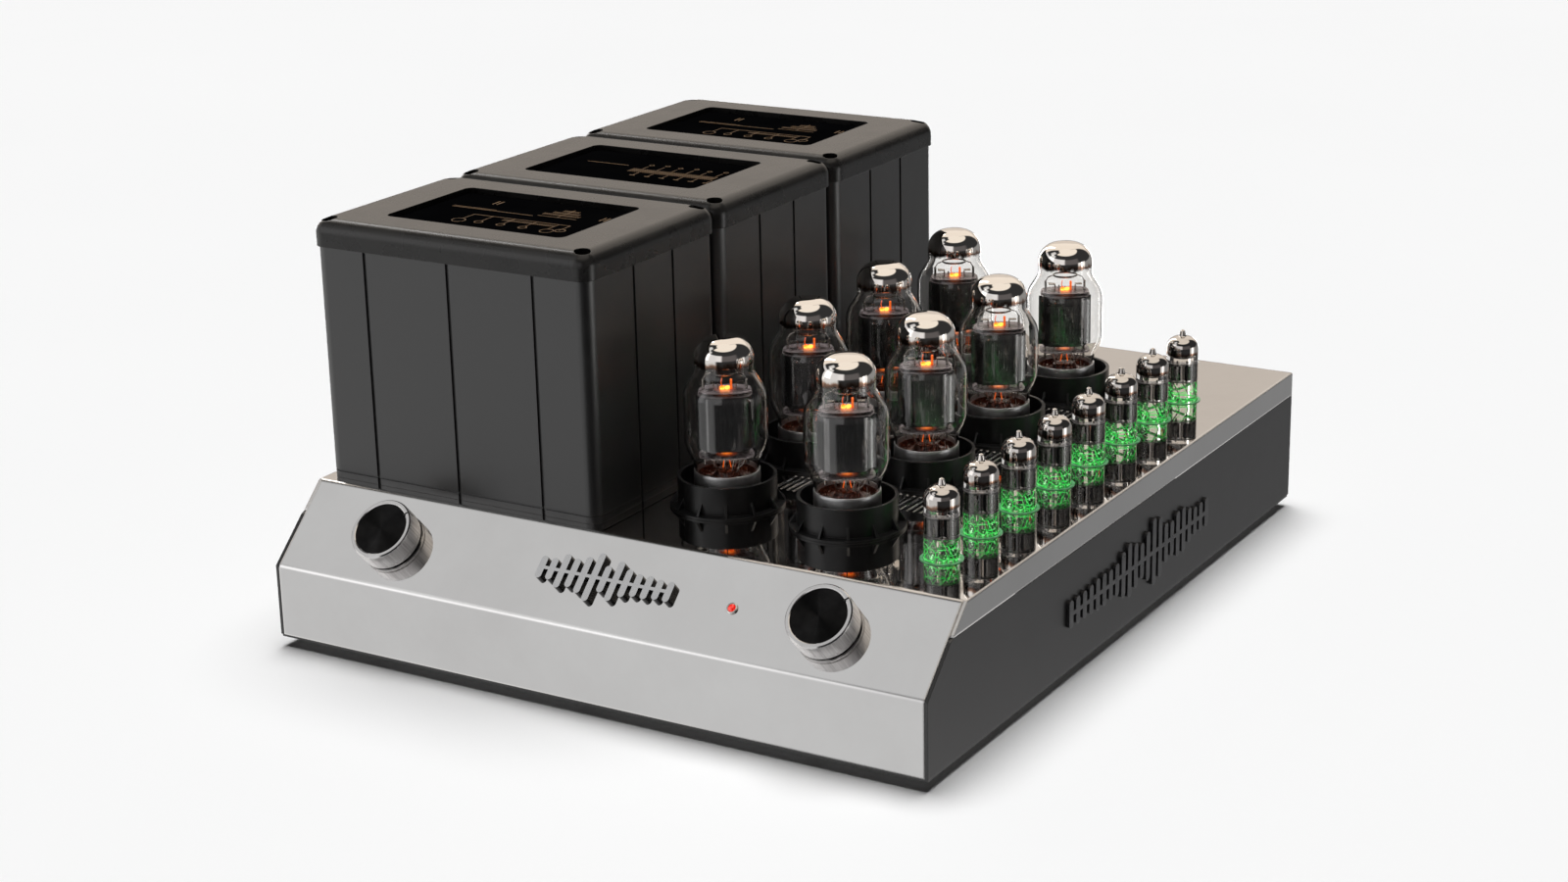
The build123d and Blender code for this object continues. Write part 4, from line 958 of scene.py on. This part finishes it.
# ======================== signal tubes
def signal_bulb():
    shape = Shape()
    outer = rounded(
        [(SIGNAL_RADIUS, SIGNAL_FOOT), (SIGNAL_RADIUS, 41.6), (2.4, 43.0), (1.5, 46.6), (0, SIGNAL_HEIGHT)],
        (7.5, 1.2, 0.7), 9,
    )
    bore = SIGNAL_RADIUS - 0.9
    floor = SIGNAL_FOOT + 2.2
    inner = rounded([(bore, floor), (bore, 40.7), (0, 42.0)], (6.6,), 9)
    shape.lathe(outer + inner[::-1] + [(0, floor), (0, SIGNAL_FOOT)], segments=48)
    shape.lathe([(0, SIGNAL_FOOT), (SIGNAL_RADIUS, SIGNAL_FOOT)], segments=48)
    return shape.mesh("signal_bulb", [SIGNAL_GLASS])


def signal_anodes():
    """Two plate boxes with crimped edges and a screen between them."""
    shape = Shape()
    for side in (-1, 1):
        centre = side * 3.1
        shape.prism(round_outline(5.0, 7.0, 1.8, 4), 14.5, 24.5, bevel=0.3, at=(centre, 0, 0))
        for face in (-1, 1):
            shape.prism(bar(1.4, 0.7, (centre, face * 3.6)), 15.0, 24.0, bevel=0.15)
        shape.prism(bar(1.0, 0.4, (centre + side * 2.8, 0)), 14.8, 24.2, bevel=0.1)
    shape.prism(bar(0.4, 9.0), 13.8, 25.0, bevel=0.1)
    return shape.mesh("signal_anodes", [SIGNAL_ANODE])


def signal_micas():
    shape = Shape()
    for height in (13.2, 25.4):
        shape.prism(mica_outline(16.6, 12.0, 16), height, height + 0.4, bevel=0.08)
    return shape.mesh("signal_micas", [SIGNAL_MICA], sharp=30)


def signal_frame():
    """Posts, grid laterals, getter tray and the nine leads that rise from the pins."""
    shape = Shape()
    for x in (-6.4, -3.1, -1.4, 1.4, 3.1, 6.4):
        shape.wire([(x, 0, 11.0), (x, 0, 18.0), (x, 0, 27.4)], 0.28, sides=6)
    for turn in [2 * pi * i / 9 for i in range(9)]:
        foot = Vector((NINE_PIN_REACH * cos(turn), NINE_PIN_REACH * sin(turn), -0.6))
        knee = Vector((6.8 * cos(turn + 0.25), 6.2 * sin(turn + 0.25), 5.0))
        head = Vector((6.4 * cos(turn - 0.2), 3.8 * sin(turn - 0.2), 13.2))
        shape.wire([foot, foot.lerp(knee, 0.6), knee, knee.lerp(head, 0.6), head], 0.34, sides=6)
    tray = [(3.4 * cos(2 * pi * i / 28), 3.4 * sin(2 * pi * i / 28), 29.6) for i in range(29)]
    shape.wire(tray, 0.5, sides=6)
    shape.wire([(3.4, 0, 29.6), (4.6, 0, 28.4), (4.8, 0, 25.6)], 0.25, sides=6)
    return shape.mesh("signal_frame", [ROD])


def signal_pins():
    shape = Shape()
    for turn in [2 * pi * i / 9 for i in range(9)]:
        spot = (NINE_PIN_REACH * cos(turn), NINE_PIN_REACH * sin(turn), 0)
        shape.lathe([(0, -10.0), (0.3, -9.8), (0.5, -9.2), (0.5, -3.02), (0, -3.02)], segments=10, at=spot)
    return shape.mesh("signal_pins", [NICKEL])


def signal_glow():
    """Green light caught in the foot of the tube: an open sleeve over a disc."""
    shape = Shape()
    shape.lathe([(7.6, -0.4), (7.9, 4.0), (7.7, 9.0), (7.2, 12.6)], segments=40)
    shape.lathe([(0, 0.4), (4.0, 0.2), (8.6, -0.2)], segments=40)
    return shape.mesh("signal_glow", [GLOW])


def build_signal_tubes():
    meshes = {
        "bulb": signal_bulb(), "anodes": signal_anodes(), "micas": signal_micas(), "frame": signal_frame(),
        "pins": signal_pins(), "glow": signal_glow(),
    }
    for number in range(1, 9):
        node = f"signal_tube_{number}"
        centre = middle(node)
        for part, mesh in meshes.items():
            place(
                f"{node}_{part}", mesh, f"{node}_body", at=(centre.x, centre.y, DECK),
                axes=None if part == "pins" else TURNED, replaces=[node],
            )


# ======================== knobs and pilot lamp
def knob_body():
    """Turned knob: chamfered rim round a sunk floor, a shadow groove near the panel, and its shaft."""
    shape = Shape()
    profile = [
        (3.2, 1.0), (KNOB_RADIUS - 0.8, 1.0), (KNOB_RADIUS - 0.2, 1.5), (KNOB_RADIUS - 0.2, 3.0),
        (KNOB_RADIUS - 0.7, 3.2), (KNOB_RADIUS - 0.7, 3.7),
        (KNOB_RADIUS, 3.9), (KNOB_RADIUS, KNOB_REACH - 1.4),
        (KNOB_RADIUS - 0.25, KNOB_REACH - 0.7), (KNOB_RADIUS - 0.9, KNOB_REACH),
        (INSERT_RADIUS + 0.75, KNOB_REACH), (INSERT_RADIUS + 0.25, KNOB_REACH - 0.35),
        (INSERT_RADIUS + 0.15, KNOB_REACH - 1.6), (0, KNOB_REACH - 1.6), (0, 5.0), (3.2, 5.0),
    ]
    shape.lathe(profile, closed=True, segments=128)
    for index, face in enumerate(shape.faces):
        across = [hypot(shape.points[i].x, shape.points[i].y) for i in face]
        if min(across) > KNOB_RADIUS - 0.75:
            shape.kinds[index] = 1
    shaft = [(0, SHAFT_END), (2.7, SHAFT_END), (3.0, SHAFT_END + 0.4), (3.0, 8.0), (0, 8.0)]
    shape.lathe(shaft, segments=32)
    return shape.mesh("knob_body", [KNOB_METAL, KNURLED], sharp=25)


def knob_face():
    """Spun black disc set into the knob."""
    shape = Shape()
    top = KNOB_REACH - 0.35
    shape.lathe(
        [(0, KNOB_REACH - 1.5), (INSERT_RADIUS, KNOB_REACH - 1.5), (INSERT_RADIUS, top - 0.15),
         (INSERT_RADIUS - 0.2, top), (8.0, top - 0.06), (0, top - 0.08)],
        segments=128,
    )
    return shape.mesh("knob_face", [KNOB_INSERT], sharp=25)


def knob_mark():
    """Pointer notch across the rim and down the side, at the upper right: a thin black inlay of painted
    shade in place of a cut groove.
    """
    shape = Shape()
    # thin black inlays on the rim and the side: painted shade for the notch
    shape.prism(bar(3.4, 1.1, (KNOB_RADIUS - 2.3, 0)), KNOB_REACH - 0.8, KNOB_REACH + 0.02)
    shape.prism(bar(0.5, 1.1, (KNOB_RADIUS - 0.21, 0)), KNOB_REACH - 5.5, KNOB_REACH - 1.1)
    for point in shape.points:
        x, y = point.x, point.y
        point.x = (x - y) * cos(pi / 4)
        point.y = (x + y) * cos(pi / 4)
    return shape.mesh("knob_mark", [NOTCH_SHADE])


def place_on_slope(name, mesh, body, node):
    """Puts a piece where the CAD node's axis meets the panel, half way along the slope."""
    spot = Vector((middle(node).x, case_front + SLOPE_SETBACK / 2 * MM, DECK - SLOPE_HEIGHT / 2 * MM))
    place(name, mesh, body, at=spot, axes=SLOPE_AXES, replaces=[node])


def build_knobs():
    meshes = {"turned_body": knob_body(), "face": knob_face(), "mark": knob_mark()}
    for node in ("power_knob", "tube_light_knob"):
        for part, mesh in meshes.items():
            place_on_slope(f"{node}_{part}", mesh, f"{node}_body", node)


def pilot_bezel():
    shape = Shape()
    bezel = rounded([(2.45, 0.0), (3.4, 0.0), (3.4, 1.0), (2.9, 1.2), (2.45, 1.2)], (0.1, 0.25, 0.1), 3)
    shape.lathe(bezel, closed=True, segments=40)
    return shape.mesh("pilot_bezel", [NICKEL])


def pilot_lens():
    """Faceted red jewel."""
    shape = Shape()
    dome = [(0, -7.5), (2.3, -7.5), (2.4, 0.6), (2.3, 1.1), (1.6, 1.8), (0.8, 2.15), (0, 2.2)]
    shape.lathe(dome, segments=12)
    return shape.mesh("pilot_lens", [JEWEL], sharp=20)


def build_pilot_lamp():
    for mesh in (pilot_bezel(), pilot_lens()):
        place_on_slope(mesh.name, mesh, "amplifier", "power_led")


# ======================== line art in the cap windows
class Drawing(Shape):
    """Thin flat lines on the glass."""

    LINE = 0.4
    THICK = 0.25

    def line(self, x0, y0, x1, y1, width=LINE):
        along = Vector((x1 - x0, y1 - y0))
        side = Vector((-along.y, along.x)).normalized() * width / 2
        a, b = Vector((x0, y0)), Vector((x1, y1))
        self.prism([tuple(b + side), tuple(a + side), tuple(a - side), tuple(b - side)], 0.02, self.THICK)

    def ring(self, x, y, radius, width=LINE):
        self.lathe(
            [(radius - width / 2, 0.02), (radius + width / 2, 0.02), (radius + width / 2, self.THICK),
             (radius - width / 2, self.THICK)],
            closed=True, segments=24, at=(x, y, 0),
        )

    def hatch(self, x0, x1, y, height, step):
        """A row of short upright strokes, like a winding."""
        count = int((x1 - x0) / step)
        for i in range(count):
            self.line(x0 + step * (i + 0.5), y - height / 2, x0 + step * (i + 0.5), y + height / 2, 0.42)


def coupling_drawing():
    """A made-up output stage: stepped windings over a line with round terminals."""
    drawing = Drawing()
    drawing.line(-52, 8, 8, 8, 0.5)
    drawing.line(-52, 10, -20, 10, 0.35)
    for row, reach in enumerate((12, 20, 28)):
        drawing.hatch(24 - reach / 2, 24 + reach / 2, 26 - 5.0 * row, 3.4, 1.5)
    drawing.line(10, 10.5, 38, 10.5)
    drawing.line(24, 30, 24, 10.5, 0.4)
    drawing.line(-26, -4, 44, -4)
    drawing.hatch(-2, 36, -8.5, 3.2, 1.5)
    for x in (-26, -12, 4, 20, 36, 44):
        drawing.line(x, -4, x, -16, 0.4)
    for x in (-12, 4, 20):
        drawing.ring(x, -19, 2.6)
    for x, y, radius in ((-26, -20, 4.2), (38, -20, 4.2), (45, -16, 3.2)):
        drawing.ring(x, y, radius)
    for x in (-32, -29):
        drawing.line(x, 22, x, 30, 0.8)
    for x in (52, 55, 58):
        drawing.line(x, 14, x, 22, 0.7)
    return drawing.mesh("coupling_drawing", [BRONZE_INK])


def scale_drawing():
    """A made-up supply winding: one long core with taps above and below."""
    drawing = Drawing()
    drawing.line(-50, 10, -18, 10, 0.5)
    drawing.hatch(-10, 54, 2.6, 3.4, 1.6)
    drawing.hatch(-10, 54, -2.6, 3.4, 1.6)
    drawing.line(-10, 0, 54, 0, 0.6)
    for i in range(6):
        x = -4 + 11 * i
        drawing.line(x, 5, x, 12 + 2 * (i % 2), 0.4)
        drawing.ring(x, 16 + 2 * (i % 2), 1.5)
        drawing.line(x + 4, -5, x + 4, -12, 0.4)
        drawing.line(x + 2, -13, x + 6, -13, 0.7)
    return drawing.mesh("scale_drawing", [BRONZE_INK])


def build_drawings():
    first, second = coupling_drawing(), scale_drawing()
    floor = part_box("cap_windows")[1].z
    for number, mesh in ((1, first), (2, second), (3, first)):
        centre = middle(f"transformer_cap_{number}")
        place(f"window_drawing_{number}", mesh, "amplifier", at=(centre.x, centre.y, floor))


build_power_tubes()
build_signal_tubes()
build_knobs()
build_pilot_lamp()
build_drawings()

# ======================== studio
BACKDROP = grey(0.93)
FLOOR_REACH = 14.0


def build_floor():
    """Wide matt floor."""
    paint = Paint("floor_matt")
    mottle = paint.noise(1.5, 2.0)
    paint.colour(mottle, (0.3, grey(0.895)), (0.7, grey(0.905)))
    paint.set(roughness=1.0, specular_ior_level=0.0)
    mesh = bpy.data.meshes.new("floor")
    ring = [(FLOOR_REACH * cos(2 * pi * i / 64), FLOOR_REACH * sin(2 * pi * i / 64), 0) for i in range(64)]
    mesh.from_pydata(ring, [], [tuple(range(64))])
    mesh.materials.append(paint.material)
    floor = add_object("floor", mesh)
    floor.location.z = cad_box[0][2] - 0.0001
    # polished surfaces see the studio's panels where the floor would be
    floor.visible_glossy = False
    floor.visible_transmission = False
    floor.visible_shadow = False


class Sky(Paint):
    """The world: a pale backdrop behind the object, and soft panels that light it and show in its polish."""

    def __init__(self):
        self.world = bpy.data.worlds.new("studio")
        bpy.context.scene.world = self.world
        self.world.use_nodes = True
        self.nodes = self.world.node_tree.nodes
        self.links = self.world.node_tree.links
        self.place = self.node("ShaderNodeTexCoord").outputs["Generated"]
        towards_front = self.maths("MULTIPLY", self.part("Y"), -1.0)
        turn = self.maths("ARCTAN2", self.part("X"), towards_front)
        self.azimuth = self.maths("MULTIPLY", turn, 180 / pi)
        self.elevation = self.maths("MULTIPLY", self.maths("ARCSINE", self.part("Z")), 180 / pi)

    def panel(self, azimuth, width, low, high, soft, colour):
        """A soft-edged panel centred on an azimuth, between two elevations, all in degrees."""
        turned = self.maths("SUBTRACT", self.azimuth, azimuth)
        away = self.maths("ABSOLUTE", self.maths("WRAP", turned, 180.0, -180.0))
        across = self.span(away, width / 2 - soft, width / 2 + soft, 1.0, 0.0, smooth=True)
        above = self.span(self.elevation, low - soft / 2, low + soft / 2, smooth=True)
        below = self.span(self.elevation, high - soft / 2, high + soft / 2, 1.0, 0.0, smooth=True)
        shape = self.maths("MULTIPLY", self.maths("MULTIPLY", across, above), below)
        tinted = self.node("ShaderNodeVectorMath", operation="SCALE")
        tinted.inputs[0].default_value = colour
        self.wire(shape, tinted.inputs["Scale"])
        return tinted.outputs[0]

    def plus(self, first, second):
        made = self.node("ShaderNodeVectorMath", operation="ADD")
        self.wire(first, made.inputs[0])
        if isinstance(second, tuple):
            made.inputs[1].default_value = second
        else:
            self.wire(second, made.inputs[1])
        return made.outputs[0]


def build_sky():
    sky = Sky()
    # azimuth (0 in front, 90 to the right), width, low edge, high edge and softness in degrees, then colour
    light = (0.035, 0.035, 0.036)
    panels = (
        sky.panel(-59, 26, 43, 60, 5, grey(0.74)),  # seen in the slope
        sky.panel(-36, 118, 3, 34, 5, (0.78, 0.77, 0.78)),  # seen at the left of round pieces
        sky.panel(-44, 28, 3, 46, 5, grey(0.75)),  # seen in the bend
        sky.panel(-27, 56, -60, 3, 6, grey(0.76)),  # seen in the front face
        sky.panel(-76, 42, -60, 3, 4, (1.05, 1.04, 1.02)),  # seen at the left of round pieces
        sky.panel(236, 6, -60, 50, 2, grey(8.0)),  # bright edge, left
        sky.panel(214, 98, 4, 20, 5, (0.72, 0.635, 0.555)),  # seen in the deck
        sky.panel(214, 98, 20, 72, 5, (0.98, 0.88, 0.77)),  # seen in the deck and the cap tops
        sky.panel(187, 152, -26, 4, 5, grey(0.26)),  # seen in the right-hand sides
        sky.panel(180, 150, -92, -26, 6, (0.85, 0.83, 0.82)),  # seen in what faces down
        sky.panel(192, 6, -60, 2, 2, grey(6.0)),  # bright edge, right
        sky.panel(99, 34, -60, 8, 4, (1.0, 0.98, 0.96)),  # seen at the right of round pieces
        sky.panel(101, 6, -60, 8, 2, grey(3.0)),  # bright line within it
        sky.panel(43, 84, 4, 32, 8, (0.09, 0.08, 0.08)),  # dim, in front of the right-hand edges
        sky.panel(0, 400, 72, 96, 4, (1.0, 0.91, 0.8)),  # seen in the crowns
        sky.panel(64, 198, 56, 72, 4, (1.0, 0.91, 0.8)),  # lower half of the same light
    )
    for panel in panels:
        light = sky.plus(panel, light)
    studio = sky.node("ShaderNodeBackground")
    sky.wire(light, studio.inputs["Color"])
    backdrop = sky.node("ShaderNodeBackground")
    backdrop.inputs["Color"].default_value = (*BACKDROP, 1)
    path = sky.node("ShaderNodeLightPath")
    bounced = sky.maths("ADD", path.outputs["Glossy Depth"], path.outputs["Diffuse Depth"], clamp=True)
    through = sky.maths("MULTIPLY", path.outputs["Is Transmission Ray"], sky.maths("SUBTRACT", 1.0, bounced))
    seen = sky.maths("MAXIMUM", path.outputs["Is Camera Ray"], through)
    output = sky.nodes.get("World Output") or sky.node("ShaderNodeOutputWorld")
    sky.wire(sky.mix(seen, studio.outputs[0], backdrop.outputs[0]), output.inputs["Surface"])
    # the panels show in polished surfaces; matt ones are lit by the top light and the floor
    sky.world.cycles_visibility.diffuse = False


def build_top_light():
    """Broad soft light from above, which draws the contact shadow."""
    sun = bpy.data.lights.new("top_light", "SUN")
    sun.energy = 3.35
    sun.angle = radians(40)
    lamp = add_object("top_light", sun)
    # a little behind the object and to its left, so the shadow shows in front and on the right
    lamp.rotation_euler = (radians(-11), radians(-6), 0)
    lamp.visible_glossy = False


CAMERA_AZIMUTH = 31.22
CAMERA_ELEVATION = 17.995
CAMERA_ROLL = -1.277
CAMERA_TARGET = Vector((-0.02547, 0.0, 0.08169))
CAMERA_DISTANCE = 1.79689
CAMERA_LENS = 64.165


def build_camera():
    data = bpy.data.cameras.new("camera")
    data.lens = CAMERA_LENS
    data.sensor_width = 36.0
    camera = add_object("camera", data)
    azimuth, elevation, roll = radians(CAMERA_AZIMUTH), radians(CAMERA_ELEVATION), radians(CAMERA_ROLL)
    ahead = Vector((-cos(elevation) * sin(azimuth), cos(elevation) * cos(azimuth), -sin(elevation)))
    level = Vector((cos(azimuth), sin(azimuth), 0))
    upright = level.cross(ahead)
    right = level * cos(roll) + upright * sin(roll)
    up = right.cross(ahead)
    turn = Matrix((right, up, -ahead)).transposed().to_4x4()
    camera.matrix_world = Matrix.Translation(CAMERA_TARGET - ahead * CAMERA_DISTANCE) @ turn
    bpy.context.scene.camera = camera


build_floor()
build_sky()
build_top_light()
build_camera()
bpy.context.scene.view_settings.view_transform = "Standard"
bpy.context.scene.view_settings.look = "None"
